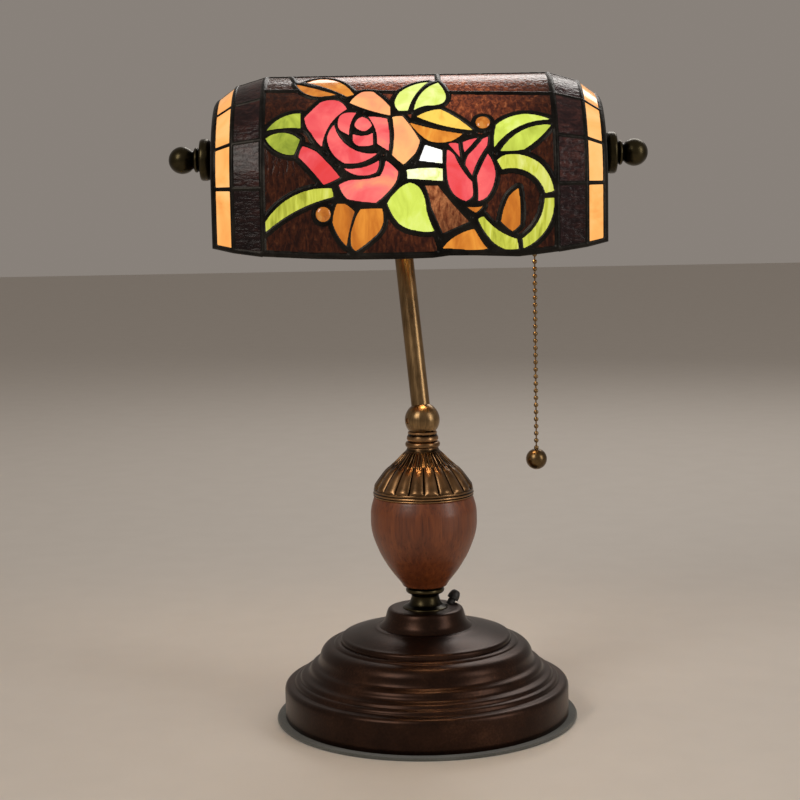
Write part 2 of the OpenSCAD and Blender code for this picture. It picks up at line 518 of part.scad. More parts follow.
module leading_ends() color("#15130f") at_ends() {
    rib(seam_x);
    rib(end_x - half_deep);
    for (a = row_breaks) {
        bar(skin(panel_x + lead_w, a, half_deep), skin(seam_x, a, half_deep));
        bar(skin(seam_x, a, half_deep), skin(end_x - half_deep, a, half_deep));
    }
    bar(skin(end_x - half_deep, row_breaks[0], half_deep), skin(end_x - half_deep, row_breaks[8], half_deep));
}
module shade_washers() color("#8a6a3c") for (x = [plate_in - 2, end_x, -plate_in, -end_x - 1.2])
    along_x(shade_x + x, tilt_y, tilt_z) ring(9.5, nipple_r + run_fit, abs(x) < end_x ? 2 : 1.2);

// ---- Finials and pull chain ----
finial_in = end_x + 1.2 + face_gap;
module finial() difference() {
    spin([[0, finial_in], [11.2, finial_in], [11.2, 129], [12.6, 130], [finial_r, 131], [finial_r, 134.6],
        [12.8, 135.6], [8.6, 136.2], [7.2, 137.2], [8, 138.4], [7, 139.6], [5.6, 140.4],
        for (a = [-51 : 9 : 90]) [8.9 * cos(a), finial_tip - 8.9 + 8.9 * sin(a)]]);
    translate([0, 0, 120]) cylinder(r = nipple_r + run_fit, h = 19);
}
module finial_right() color("#6a522c") along_x(shade_x, tilt_y, tilt_z) finial();
module finial_left() color("#6a522c") translate([shade_x, tilt_y, tilt_z]) rotate([0, -90, 0]) finial();

hang_z = tilt_z - 32;
module bead(z) translate([shade_x + chain_x, chain_y, z]) sphere(r = bead_r, $fn = 24);
module chain_top() color("#8a6a3c") {
    for (i = [1 : 4]) bead(hang_z + bead_pitch * i);
    translate([shade_x + chain_x, chain_y, hang_z + 2]) cylinder(r = 0.5, h = 19);
}
module pull_chain() color("#8a6a3c") {
    for (i = [0 : floor((hang_z - chain_end_z - 8) / bead_pitch)]) bead(hang_z - i * bead_pitch);
    translate([shade_x + chain_x, chain_y, chain_end_z + 6]) cylinder(r = 0.5, h = hang_z - chain_end_z - 6);
    along_x(shade_x + chain_x - 2, chain_y, hang_z) cylinder(r = 0.7, h = 4);
}
module chain_ball() color("#8a6a3c") translate([shade_x + chain_x, chain_y, chain_end_z]) difference() {
    sphere(r = end_ball_r);
    cylinder(r = 0.5, h = 8);
}

base_pad();
base_plate();
base_weight();
base_shell();
base_boss();
cord_gland();
tie_rod();
rod_nuts();
stem_foot();
urn();
cap();
neck_collar();
swivel_post();
swivel_nut();
knuckle_ball();
knuckle_screw();
arm_tube();
arm_hub();
hub_nut();
yoke();
nipples();
nipple_nuts();
friction_washers();
socket_cap();
socket_shell();
socket_insert();
chain_guide();
bulb_cap();
bulb_glass();
glass_rose();
glass_bud();
glass_green_leaves();
glass_gold_leaves();
glass_ribbons();
glass_accents();
glass_jewels();
glass_ground();
glass_back();
glass_dark_strips();
glass_amber_strips();
glass_end_plates();
leading_front();
leading_back();
leading_ends();
shade_washers();
finial_left();
finial_right();
chain_top();
pull_chain();
chain_ball();
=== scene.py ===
import json
import math

import bmesh
import bpy
import numpy as np
from mathutils import Matrix, Vector, noise


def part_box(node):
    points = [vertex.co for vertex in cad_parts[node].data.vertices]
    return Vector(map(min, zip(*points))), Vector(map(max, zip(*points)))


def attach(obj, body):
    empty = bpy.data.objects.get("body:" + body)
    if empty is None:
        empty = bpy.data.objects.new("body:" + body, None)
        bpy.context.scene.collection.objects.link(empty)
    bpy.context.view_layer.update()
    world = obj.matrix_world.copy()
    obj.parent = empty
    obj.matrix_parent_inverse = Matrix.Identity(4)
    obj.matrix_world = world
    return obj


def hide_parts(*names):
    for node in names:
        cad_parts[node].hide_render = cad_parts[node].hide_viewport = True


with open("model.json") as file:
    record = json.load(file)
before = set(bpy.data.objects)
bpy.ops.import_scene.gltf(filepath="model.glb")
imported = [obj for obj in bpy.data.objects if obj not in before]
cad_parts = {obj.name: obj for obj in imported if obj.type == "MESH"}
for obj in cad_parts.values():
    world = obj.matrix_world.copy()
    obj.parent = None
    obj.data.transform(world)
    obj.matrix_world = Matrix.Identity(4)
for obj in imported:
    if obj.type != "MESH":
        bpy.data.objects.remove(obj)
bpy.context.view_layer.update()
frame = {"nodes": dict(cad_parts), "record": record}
mm = 0.001

# ---- Camera, lights and floor ----
# A long lens about 1.2 m in front of the lamp and a little below the shade's crest, two
# broad soft lamps and a weak one from behind, on a plain pale floor.

eye = Vector((-14.3, -1155, 353)) * mm
lens = bpy.data.cameras.new("camera")
lens.lens = 80.2
lens.sensor_width = 36
camera = bpy.data.objects.new("camera", lens)
camera.matrix_world = (Matrix.Translation(eye) @ Matrix.Rotation(math.radians(83), 4, "X")
                       @ Matrix.Rotation(math.radians(-1.05), 4, "Z"))
bpy.context.collection.objects.link(camera)
bpy.context.scene.camera = camera
bpy.context.scene.view_settings.view_transform = "Standard"


def soft_light(name, place, target, size, power, tint):
    light = bpy.data.lights.new(name, "AREA")
    light.shape = "RECTANGLE"
    light.size, light.size_y = size
    light.energy = power
    light.color = tint
    holder = bpy.data.objects.new(name, light)
    holder.location = place
    holder.rotation_euler = (Vector(target) - Vector(place)).to_track_quat("-Z", "Y").to_euler()
    bpy.context.collection.objects.link(holder)


soft_light("key", (-1.1, -1.3, 1.35), (0, 0, 0.2), (0.7, 1.0), 13, (1, 0.93, 0.85))
soft_light("fill", (1.5, -0.9, 0.8), (0, 0, 0.2), (0.5, 1.2), 8, (1, 0.95, 0.9))
soft_light("rim", (0.4, 1.4, 1.3), (0, 0, 0.25), (1.2, 0.6), 7, (1, 0.96, 0.92))

world = bpy.data.worlds.new("room")
world.use_nodes = True
world.node_tree.nodes["Background"].inputs["Color"].default_value = (0.62, 0.55, 0.49, 1)
world.node_tree.nodes["Background"].inputs["Strength"].default_value = 0.4
bpy.context.scene.world = world


class Wire:
    """A socket of a material's nodes. A sum on it adds Math nodes."""

    def __init__(self, finish, socket):
        self.finish, self.socket = finish, socket

    def sum(self, operation, first, second=0.0):
        return self.finish.node("ShaderNodeMath", {"operation": operation}, {0: first, 1: second})

    def __add__(self, other):
        return self.sum("ADD", self, other)

    def __mul__(self, other):
        return self.sum("MULTIPLY", self, other)

    def __sub__(self, other):
        return self.sum("SUBTRACT", self, other)

    def __rsub__(self, other):
        return self.sum("SUBTRACT", other, self)

    def __truediv__(self, other):
        return self.sum("DIVIDE", self, other)

    def __rtruediv__(self, other):
        return self.sum("DIVIDE", other, self)

    def __pow__(self, other):
        return self.sum("POWER", self, other)

    __radd__, __rmul__ = __add__, __mul__


class Finish:
    """One material. node() adds any node; the shader's fixed values are set by name."""

    def __init__(self, name, **fixed):
        self.material = bpy.data.materials.new(name)
        self.material.use_nodes = True
        self.tree = self.material.node_tree
        self.shader = self.tree.nodes["Principled BSDF"]
        for socket, value in fixed.items():
            self.shader.inputs[socket.replace("_", " ")].default_value = value

    def node(self, kind, settings=(), sockets=(), out=0):
        made = self.tree.nodes.new(kind)
        for name, value in dict(settings).items():
            if name == "stops":
                while len(made.color_ramp.elements) < len(value):
                    made.color_ramp.elements.new(0.5)
                for element, (place, colour) in zip(made.color_ramp.elements, value):
                    element.position, element.color = place, (*colour, 1)
            else:
                setattr(made, name, value)
        for name, value in dict(sockets).items():
            if isinstance(value, Wire):
                self.tree.links.new(value.socket, made.inputs[name])
            else:
                made.inputs[name].default_value = value
        return Wire(self, made.outputs[out])

    def place(self, stretch=(1, 1, 1), turn=(0, 0, 0), shift=(0, 0, 0)):
        return self.node("ShaderNodeMapping", {}, {
            "Vector": self.node("ShaderNodeTexCoord", {}, {}, "Object"),
            "Location": shift, "Rotation": turn, "Scale": stretch})

    def noise(self, where, scale, detail=3.0, rough=0.5, twist=0.0):
        return self.node("ShaderNodeTexNoise", {}, {
            "Vector": where, "Scale": scale, "Detail": detail, "Roughness": rough,
            "Distortion": twist})

    def ramp(self, value, *stops):
        return self.node("ShaderNodeValToRGB", {"stops": stops}, {"Fac": value})

    def mix(self, amount, first, second, how="MIX"):
        pair = [c if isinstance(c, Wire) else (*c, 1) for c in (first, second)]
        return self.node("ShaderNodeMix", {"data_type": "RGBA", "blend_type": how},
                         {0: amount, 6: pair[0], 7: pair[1]}, 2)

    def feed(self, **links):
        for socket, value in links.items():
            self.tree.links.new(value.socket, self.shader.inputs[socket.replace("_", " ")])
        return self

    def bump(self, height, strength, distance):
        return self.feed(Normal=self.node("ShaderNodeBump", {}, {
            "Height": height, "Strength": strength, "Distance": distance}))


def pale_floor():
    finish = Finish("floor_paint", Roughness=0.6)
    grain = finish.noise(finish.place(), 30)
    finish.feed(Base_Color=finish.ramp(grain, (0.3, (0.66, 0.62, 0.57)), (0.7, (0.68, 0.64, 0.59))))
    sheet = bmesh.new()
    bmesh.ops.create_grid(sheet, x_segments=1, y_segments=1, size=6)
    mesh = bpy.data.meshes.new("floor")
    sheet.to_mesh(mesh)
    sheet.free()
    mesh.materials.append(finish.material)
    floor = bpy.data.objects.new("floor", mesh)
    bpy.context.collection.objects.link(floor)


pale_floor()

# ---- Base pad ----
# A disc of grey-green felt a little larger than the metal rim, glued underneath so that the
# lamp doesn't scratch the table.


def finished(bm, name, finish, body, slot, *nodes, smooth=40):
    """Turns a bmesh into a piece that rides on a body and stands for the named CAD nodes."""
    mesh = bpy.data.meshes.new(name)
    bm.to_mesh(mesh)
    bm.free()
    mesh.shade_smooth()
    mesh.set_sharp_from_angle(angle=math.radians(smooth))
    mesh.materials.append(finish.material)
    piece = bpy.data.objects.new(name, mesh)
    bpy.context.collection.objects.link(piece)
    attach(piece, body)
    if nodes:
        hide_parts(*nodes)
    return piece


def turned(profile, steps=128, axis=(0, 0, 1), about=(0, 0, 0)):
    """Spins a closed outline of (radius, height) in millimetres about an upright line."""
    bm = bmesh.new()
    points = [bm.verts.new((r * mm, 0, z * mm)) for r, z in profile]
    chain = [bm.edges.new(pair) for pair in zip(points, points[1:] + points[:1])]
    bmesh.ops.spin(bm, geom=points + chain, axis=(0, 0, 1), cent=(0, 0, 0), steps=steps,
                   angle=2 * math.pi, use_merge=True)
    bmesh.ops.remove_doubles(bm, verts=bm.verts, dist=0.00001)
    bmesh.ops.recalc_face_normals(bm, faces=bm.faces)
    lean = Vector((0, 0, 1)).rotation_difference(Vector(axis)).to_matrix().to_4x4()
    bmesh.ops.transform(bm, verts=bm.verts, matrix=Matrix.Translation(Vector(about)) @ lean)
    return bm


def eased(points, per_side=6):
    """A smooth line through points, as on a turned profile; a point doubled stays a corner."""
    line = [Vector(p) for p in points]
    out = []
    for i in range(len(line) - 1):
        a, b = line[i], line[i + 1]
        if (b - a).length < 1e-6:
            continue
        before = line[i - 1] if i > 0 and (a - line[i - 1]).length > 1e-6 else a
        after = line[i + 2] if i + 2 < len(line) and (line[i + 2] - b).length > 1e-6 else b
        for k in range(per_side):
            t = k / per_side
            out.append(a * (1 + t * t * (2 * t - 3)) + b * (t * t * (3 - 2 * t))
                       + (b - before) * (0.5 * t * (1 - t) ** 2)
                       + (after - a) * (-0.5 * t * t * (1 - t)))
    return [tuple(p) for p in out + [line[-1]]]


def felt():
    finish = Finish("pad_felt", Roughness=0.95, Sheen_Weight=0.3)
    fuzz = finish.noise(finish.place(), 900, 4)
    patches = finish.noise(finish.place(), 40)
    finish.feed(Base_Color=finish.mix(fuzz * patches * 2, (0.045, 0.047, 0.04), (0.13, 0.135, 0.12)))
    return finish.bump(fuzz, 0.6, 0.0006)


pad_r, pad_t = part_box("base_pad")[1][0] / mm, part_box("base_pad")[1][2] / mm
pad = turned([(0, 0)] + eased([(pad_r - 0.7, 0), (pad_r, pad_t * 0.5), (pad_r - 0.7, pad_t)], 4)
             + [(0, pad_t)], 160)
finished(pad, "felt_pad", felt(), "stand", "pad_felt", "base_pad")

# ---- Base ----
# A stepped dome spun from sheet steel and sprayed a satin dark bronze, with a cast boss on
# top. Its rim hides a steel cover plate and an iron weight.


def bronze_paint():
    finish = Finish("bronze_paint", Metallic=0.85, Coat_Weight=0.04, Coat_Roughness=0.3)
    mottle = finish.noise(finish.place(), 28, 4, 0.6)
    speck = finish.noise(finish.place(), 700, 2)
    tone = mottle * 0.7 + speck * 0.3
    finish.feed(Base_Color=finish.ramp(tone, (0.32, (0.013, 0.0055, 0.0032)), (0.55, (0.034, 0.0145, 0.0078)),
                                       (0.72, (0.075, 0.033, 0.018))),
                Roughness=0.26 + mottle * 0.16)
    return finish.bump(speck, 0.12, 0.0003)


base_outside = (
    eased([(93.6, 2), (94, 2.4), (94, 2.4), (94, 20.4), (94, 20.4), (93.7, 22), (92.9, 23.3),
           (91.6, 24.1), (90, 24.4), (90, 24.4), (88, 24.7), (88, 24.7), (87.3, 25.3), (87, 26.2),
           (86.4, 27.1), (85.4, 27.6), (84.4, 27.8), (84.4, 27.8), (83.7, 28.2), (83.3, 29),
           (82.8, 29.8), (81.8, 30.4), (80.4, 30.8), (80.4, 30.8), (78.6, 31.5), (77.4, 32.8),
           (76.8, 34.4), (76, 35.7), (74.6, 36.6), (73, 37.2), (73, 37.2), (71.8, 38), (71, 39.4),
           (70.4, 41.4), (69.8, 44), (68.4, 46.4), (66.4, 48.2), (64, 49.2), (61.4, 49.8),
           (61.4, 49.8), (60.8, 50.1), (60.3, 50.7), (59.4, 51.2), (58.4, 51.5), (56.4, 51.6),
           (56.4, 51.6), (56.3, 53), (56, 54), (55, 54.9), (53.2, 55.4), (53.2, 55.4),
           (44, 58.2), (35, 60.1), (31, 60.8), (15, 60.8)], 4))
base_inside = [(15, 59.2), (34, 58.4), (52, 53.8), (54.8, 50.2), (64.6, 46.8), (68.2, 42), (69.4, 38),
               (74.6, 34.2), (78, 29.6), (87, 23.1), (92.4, 20.6), (92.4, 2.2)]
finished(turned(base_outside + base_inside, 200), "spun_base", bronze_paint(), "stand",
         "bronze_paint", "base_shell", smooth=50)

boss = [(30.6, 60.9), (29.6, 61.8), (27.6, 64.2), (26.2, 67.6), (25.2, 70.8), (24.2, 72.4),
        (22.4, 73), (22.4, 73), (18, 73)]
finished(turned([(15, 60.9)] + eased(boss, 5) + [(10.6, 73), (10.6, 67), (15, 67)], 128),
         "cast_boss", bronze_paint(), "stand", "bronze_paint", "base_boss")


def moulded_black():
    finish = Finish("black_plastic", Roughness=0.5)
    grain = finish.noise(finish.place(), 1500, 2)
    finish.feed(Base_Color=finish.ramp(grain, (0.3, (0.012, 0.012, 0.012)), (0.7, (0.03, 0.028, 0.026))))
    return finish.bump(grain, 0.25, 0.0002)


gland_spot = next(m for m in frame["record"]["mounts"] if m["name"] == "cord_inlet")
gland = eased([(1.6, -6), (2.5, -6), (2.5, -6), (2.5, 1.9), (2.5, 1.9), (3.8, 1.9), (3.8, 1.9), (3.85, 3),
               (3.8, 4.4), (3.1, 6.6), (2.2, 7.8), (1.7, 7.9), (1.6, 7)], 4)
finished(turned(gland, 40, gland_spot["axis"], gland_spot["pos_m"]), "cord_bush", moulded_black(),
         "stand", "black_plastic", "cord_gland")

# ---- Stem foot, cap and neck ----
# Cast and turned brass, darkened with patina and rubbed back on the high places. The cap
# has a ring of gadroon lobes under a ring of small leaves.


def antique_brass(name, dark, bright, wear=0.5):
    finish = Finish(name, Metallic=1.0)
    cloud = finish.noise(finish.place(), 60, 4, 0.6)
    fine = finish.noise(finish.place((1, 1, 6)), 420, 2)
    edge = finish.node("ShaderNodeNewGeometry", {}, {}, "Pointiness")
    rubbed = finish.ramp((edge - 0.5) * 14 + wear + (cloud - 0.5) * 0.9,
                         (0.2, dark), (0.8, bright))
    finish.feed(Base_Color=rubbed, Roughness=0.18 + cloud * 0.16 + fine * 0.08)
    return finish.bump(fine, 0.08, 0.0003)


old_brass = antique_brass("antique_brass", (0.008, 0.005, 0.003), (0.38, 0.215, 0.1), 0.36)
dark_brass = antique_brass("dark_bronze", (0.008, 0.007, 0.004), (0.075, 0.06, 0.03), 0.36)

foot = [(5, 73), (14.9, 73), (14.9, 73), (14.8, 73.6), (13.4, 74.3), (11.4, 75.3), (10, 77.4),
        (9.2, 80), (9.2, 81.4), (9.9, 82.7), (9.9, 82.7), (11.6, 83.1), (12.6, 84.2), (12.6, 85.6),
        (11.8, 86.6), (11.8, 86.6), (12.4, 87), (13.2, 87.9), (13.2, 87.9), (5, 87.9)]
finished(turned(eased(foot, 4), 96), "stem_foot_turned", dark_brass, "stand", "dark_bronze",
         "stem_foot")

lobes = 20


def gadroon(bm):
    """Presses the two rings of lobes into the plain turned cap."""
    for v in bm.verts:
        r, z = math.hypot(v.co.x, v.co.y) / mm, v.co.z / mm
        if r < 9 or z < 150.5:
            continue
        turn = math.atan2(v.co.y, v.co.x)
        across = abs(math.sin(turn * lobes / 2))
        lobe = across ** 0.55
        up = (z - 152.6) / (167.5 - 152.6)
        press = 0
        if 0 < up < 1.12:
            shut = min(1, up / 0.14) * min(1, max(0, (1.12 - up) / 0.3) ** 0.5)
            press = (lobe - 1) * 2.3 * shut + 0.5 * shut
        leaf_up = (z - 166.8) / (177.6 - 166.8)
        if 0 < leaf_up < 1:
            leaf = abs(math.cos(turn * lobes / 2))
            rise = math.sin(math.pi * leaf_up) ** 0.6
            rim_line = 1 - abs(leaf - 0.62) / 0.25
            press += rise * (0.95 * max(0, rim_line) + 0.35 * (leaf > 0.86) - 0.75)
        v.co.x *= 1 + press / r
        v.co.y *= 1 + press / r


cap_profile = eased([(5, 148), (32.4, 148), (32.4, 148), (32.9, 148.5), (32.4, 149.3), (32.4, 149.3),
                     (33.1, 150.1), (32.5, 151.2), (32.5, 151.2), (32.7, 152), (32.6, 152.7),
                     (32.6, 152.7)], 3)
cap_dome = eased([(32.4, 152.9), (31.9, 154.9), (29.6, 158.3), (27.2, 161.6), (24.5, 164.9), (21, 168.2),
                  (17.4, 171.5), (14.1, 174.9), (11, 178), (10.2, 179.9)], 9)
cap_inside = [(8.6, 179.9), (8.6, 177), (14, 171), (22, 163), (27, 156), (28.6, 151.5), (5, 151.5)]
cap = turned(cap_profile + cap_dome + cap_inside, 360)
gadroon(cap)
finished(cap, "gadroon_cap", old_brass, "stand", "antique_brass", "cap", smooth=60)

collar = [(5.06, 175.6), (8.4, 175.6), (8.4, 180), (10.3, 180.1), (10.3, 180.1), (11.1, 180.8), (11.4, 182.1),
          (11, 183.3), (9.8, 183.9), (9.8, 183.9), (5.06, 184)]
finished(turned(collar[:4] + eased(collar[4:9], 5) + collar[9:], 96), "neck_ring", old_brass,
         "stand", "antique_brass", "neck_collar")

# ---- Urn ----
# Turned from one block of stained hardwood with the grain upright, sealed and rubbed to a
# satin shine. The tie rod runs through it and clamps it between the foot and the cap.


def stained_wood():
    finish = Finish("urn_wood", Coat_Weight=0.22, Coat_Roughness=0.2)
    bent = finish.noise(finish.place((1, 1, 0.35)), 22, 2)
    flow = finish.place((1, 1, 0.07))
    grain = finish.noise(flow, 420, 5, 0.62, 0.3)
    pores = finish.noise(finish.place((1, 1, 0.04)), 900, 2, 0.6)
    broad = finish.noise(finish.place((1, 1, 0.12)), 60, 3)
    tone = grain * 0.45 + broad * 0.35 + bent * 0.2
    colour = finish.ramp(tone, (0.3, (0.07, 0.015, 0.005)), (0.46, (0.14, 0.033, 0.008)),
                         (0.56, (0.2, 0.05, 0.011)), (0.72, (0.29, 0.085, 0.02)))
    lines = finish.ramp(pores, (0.3, (0.5, 0.45, 0.42)), (0.46, (1, 1, 1)))
    finish.feed(Base_Color=finish.mix(0.8, colour, lines, "MULTIPLY"), Roughness=0.34 + grain * 0.2)
    return finish.bump(pores + grain, 0.12, 0.0004)


urn_profile = eased([(14.4, 88), (14.4, 88), (16.5, 91.3), (19.2, 94.6), (21.8, 98), (24.1, 101.4),
                     (26.1, 104.7), (28.1, 108.1), (29.7, 111.5), (31.1, 114.8), (32.4, 118.2),
                     (33.5, 121.5), (34.3, 124.9), (34.85, 129), (34.9, 133), (34.8, 138),
                     (34.2, 141.6), (33.3, 144.9), (32.5, 147.4), (31.8, 148)], 4)
finished(turned([(5, 88)] + urn_profile + [(5, 148)], 160), "turned_urn", stained_wood(), "stand",
         "urn_wood", "urn", smooth=60)

# ---- Knuckle, tube and yoke ----
# The tube is brass-plated steel with a bright lengthwise sheen. A slotted ball clamped by one
# screw lets it lean, and a hub at its head carries the strip that is bent into the yoke.


def brushed_brass():
    finish = Finish("brushed_brass", Metallic=1.0)
    lines = finish.noise(finish.place((1, 1, 0.03)), 900, 3, 0.6)
    cloud = finish.noise(finish.place(), 45, 3)
    finish.feed(Base_Color=finish.ramp(lines * 0.5 + cloud * 0.5, (0.3, (0.11, 0.066, 0.03)),
                                       (0.7, (0.4, 0.26, 0.125))),
                Roughness=0.2 + cloud * 0.12 + lines * 0.08)
    return finish.bump(lines, 0.05, 0.0002)


def plain_steel():
    finish = Finish("plain_steel", Metallic=1.0)
    cloud = finish.noise(finish.place(), 120, 4)
    finish.feed(Base_Color=finish.ramp(cloud, (0.3, (0.32, 0.31, 0.3)), (0.7, (0.56, 0.55, 0.53))),
                Roughness=0.3 + cloud * 0.2)
    return finish.bump(cloud, 0.05, 0.0003)


def black_rubber():
    finish = Finish("black_rubber", Roughness=0.8)
    grain = finish.noise(finish.place(), 1200, 2)
    finish.feed(Base_Color=finish.ramp(grain, (0.3, (0.015, 0.015, 0.015)), (0.7, (0.04, 0.04, 0.04))))
    return finish.bump(grain, 0.3, 0.0002)


def coat(finish, *nodes):
    """Gives CAD nodes whose shape is already right a finish of their own."""
    for name in nodes:
        mesh = frame["nodes"][name].data
        mesh.materials.clear()
        mesh.materials.append(finish.material)


bright_brass = brushed_brass()
steel = plain_steel()
rubber = black_rubber()
coat(bright_brass, "knuckle_ball", "arm_hub", "arm_tube", "yoke")
coat(old_brass, "swivel_post", "knuckle_screw", "shade_washers")
coat(steel, "base_plate", "tie_rod", "rod_nuts", "swivel_nut", "hub_nut", "nipples", "nipple_nuts",
     "bulb_cap")
coat(rubber, "friction_washers")


def raw_iron():
    finish = Finish("raw_iron", Metallic=0.7)
    scale = finish.noise(finish.place(), 160, 5)
    finish.feed(Base_Color=finish.ramp(scale, (0.35, (0.05, 0.045, 0.04)), (0.65, (0.16, 0.13, 0.11))),
                Roughness=0.5 + scale * 0.3)
    return finish.bump(scale, 0.4, 0.0006)


coat(raw_iron(), "base_weight")

# ---- Clamp knobs ----
# Two turned brass knobs, dark with patina and bright on their rings. They screw onto the
# nipples outside the yoke and clamp the shade at the tilt that is wanted.

nipple_low, nipple_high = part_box("nipples")
tilt = (nipple_low + nipple_high) / 2 / mm
shade_box = [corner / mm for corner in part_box("leading_ends")]
shade_x = (shade_box[0].x + shade_box[1].x) / 2
knob = eased([(0, 124.6), (11.2, 124.6), (11.2, 124.6), (11.2, 128.6), (11.2, 128.6), (12.6, 129.6),
              (13.4, 130.8), (13.6, 132.8), (13.4, 134.6), (12.6, 135.6), (12.6, 135.6), (8.6, 136.2),
              (7.2, 137.2), (7.2, 137.2), (8, 137.8), (8.1, 138.6), (7.6, 139.4), (7.6, 139.4), (5.7, 140.2),
              (5.7, 140.2)], 4)
knob += [(8.9 * math.cos(math.radians(a)), 147.6 + 8.9 * math.sin(math.radians(a)))
         for a in range(-48, 91, 6)]
for side, way in (("left", -1), ("right", 1)):
    finished(turned(knob, 96, (way, 0, 0), (shade_x * mm, tilt.y * mm, tilt.z * mm)),
             side + "_knob_turned", dark_brass, side + "_knob", "dark_bronze", "finial_" + side)

# ---- Lamp holder and bulb ----
# A brass shell with a white ceramic insert, and a warm frosted bulb that screws in from
# the left. The bulb is lit.


def ceramic():
    finish = Finish("white_ceramic", Roughness=0.25, Coat_Weight=0.4)
    cloud = finish.noise(finish.place(), 80, 2)
    finish.feed(Base_Color=finish.ramp(cloud, (0.3, (0.74, 0.71, 0.65)), (0.7, (0.84, 0.82, 0.77))))
    return finish.bump(cloud, 0.05, 0.0004)


def lit_bulb():
    finish = Finish("bulb_glow", Roughness=0.4, Base_Color=(0.9, 0.85, 0.75, 1),
                    Emission_Strength=30.0)
    cloud = finish.noise(finish.place(), 25, 2)
    finish.feed(Emission_Color=finish.ramp(cloud, (0.3, (1, 0.62, 0.3)), (0.7, (1, 0.72, 0.42))))
    return finish.bump(cloud, 0.05, 0.0005)


coat(bright_brass, "socket_cap", "socket_shell", "chain_guide")
coat(ceramic(), "socket_insert")
coat(lit_bulb(), "bulb_glass")

# ---- Shade glass ----
# Panes of opalescent and hammered glass, each cut to its outline and edged with copper foil.
# The middle panel is bent over a round top with straight walls, and it narrows to the ends.

top_r, seam_r, end_r = 71, 65.5, 56
under_foil = 0.45
panel, seam, end = 91, 110, 123
spring = tilt.z - 19
edge = tilt.z - 60
wall = spring - edge
crest = wall + top_r * math.pi / 2
around = 2 * crest
glass_t = 2.4


def skin(x, v, out):
    """A point of the shade: x from its middle, v up the front from the edge and over to the
    back, out from the middle of the glass."""
    past = min(max(abs(x) - panel, 0) / (seam - panel), 1)
    further = max(abs(x) - seam, 0) / (end - seam)
    r = top_r - glass_t / 2 + (seam_r - top_r) * past + (end_r - seam_r) * further + out
    low = edge + 2.5 * past + 2.5 * further
    turn = (v - wall) / top_r
    if turn < 0:
        y, z = -r, spring - (spring - low) * (wall - v) / wall
    elif turn > math.pi:
        y, z = r, spring - (spring - low) * (v - wall - top_r * math.pi) / wall
    else:
        y, z = -r * math.cos(turn), spring + r * math.sin(turn)
    return Vector((shade_x + x, tilt.y + y, z)) * mm


def wrap(bm):
    """Bends a flat bmesh of (x, v, out) in millimetres round the shade."""
    for v in bm.verts:
        v.co = skin(*v.co)
    bmesh.ops.recalc_face_normals(bm, faces=bm.faces)
    return bm


def up_front(h):
    """Distance up the skin of a point that is h above the edge in the front view."""
    return h if h < wall else wall + top_r * math.asin(min(1, (h - wall) / top_r))


def arc(a, b, sag, steps=8):
    """The side of a pane from a to b, without b, as an arc that stands sag to its left."""
    a, b = Vector(a), Vector(b)
    if abs(sag) < 0.01:
        return [a]
    chord = (b - a).length
    r = (chord * chord / 4 + sag * sag) / (2 * abs(sag))
    left = Vector((a.y - b.y, b.x - a.x)) / chord
    middle = (a + b) / 2 + left * (sag - math.copysign(r, sag))
    turn = -math.copysign(2 * math.asin(min(1, chord / (2 * r))), sag)
    return [middle + Matrix.Rotation(turn * i / steps, 2) @ (a - middle) for i in range(steps)]


def outline(corners):
    flat = []
    for (x, h, sag), (x2, h2, _) in zip(corners, corners[1:] + corners[:1]):
        flat += arc((x, h), (x2, h2), sag)
    return [Vector((p.x, up_front(p.y))) for p in flat]


def grown(points, by):
    out = []
    for before, p, after in zip(points[-1:] + points[:-1], points, points[1:] + points[:1]):
        way = (after - before).normalized()
        out.append(p + Vector((-way.y, way.x)) * by)
    return out


def join(bm, part, tone=0.5):
    """Moves a finished part into bm, with its tone on every corner."""
    layer = part.verts.layers.float.new("tone")
    for v in part.verts:
        v[layer] = tone
    mesh = bpy.data.meshes.new("part")
    part.to_mesh(mesh)
    part.free()
    if "tone" not in bm.verts.layers.float:
        bm.verts.layers.float.new("tone")
    bm.from_mesh(mesh)
    bpy.data.meshes.remove(mesh)


def thicken(bm, top):
    """Extrudes a flat bmesh until its new side is at the height top."""
    for v in bmesh.ops.extrude_face_region(bm, geom=bm.faces[:])["geom"]:
        if isinstance(v, bmesh.types.BMVert):
            v.co.z = top


def pane(bm, points, half, tone, bend=5.0):
    """Adds one pane, cut across where the shade bends."""
    flat = bmesh.new()
    flat.faces.new([flat.verts.new((p.x, p.y, -half)) for p in points])
    low, high = min(p.y for p in points), max(p.y for p in points)
    for k in range(math.ceil(low / bend), math.ceil(high / bend)):
        bmesh.ops.bisect_plane(flat, geom=flat.verts[:] + flat.edges[:] + flat.faces[:], dist=1e-4,
                               plane_co=(0, k * bend, 0), plane_no=(0, 1, 0))
    thicken(flat, half)
    join(bm, flat, tone)


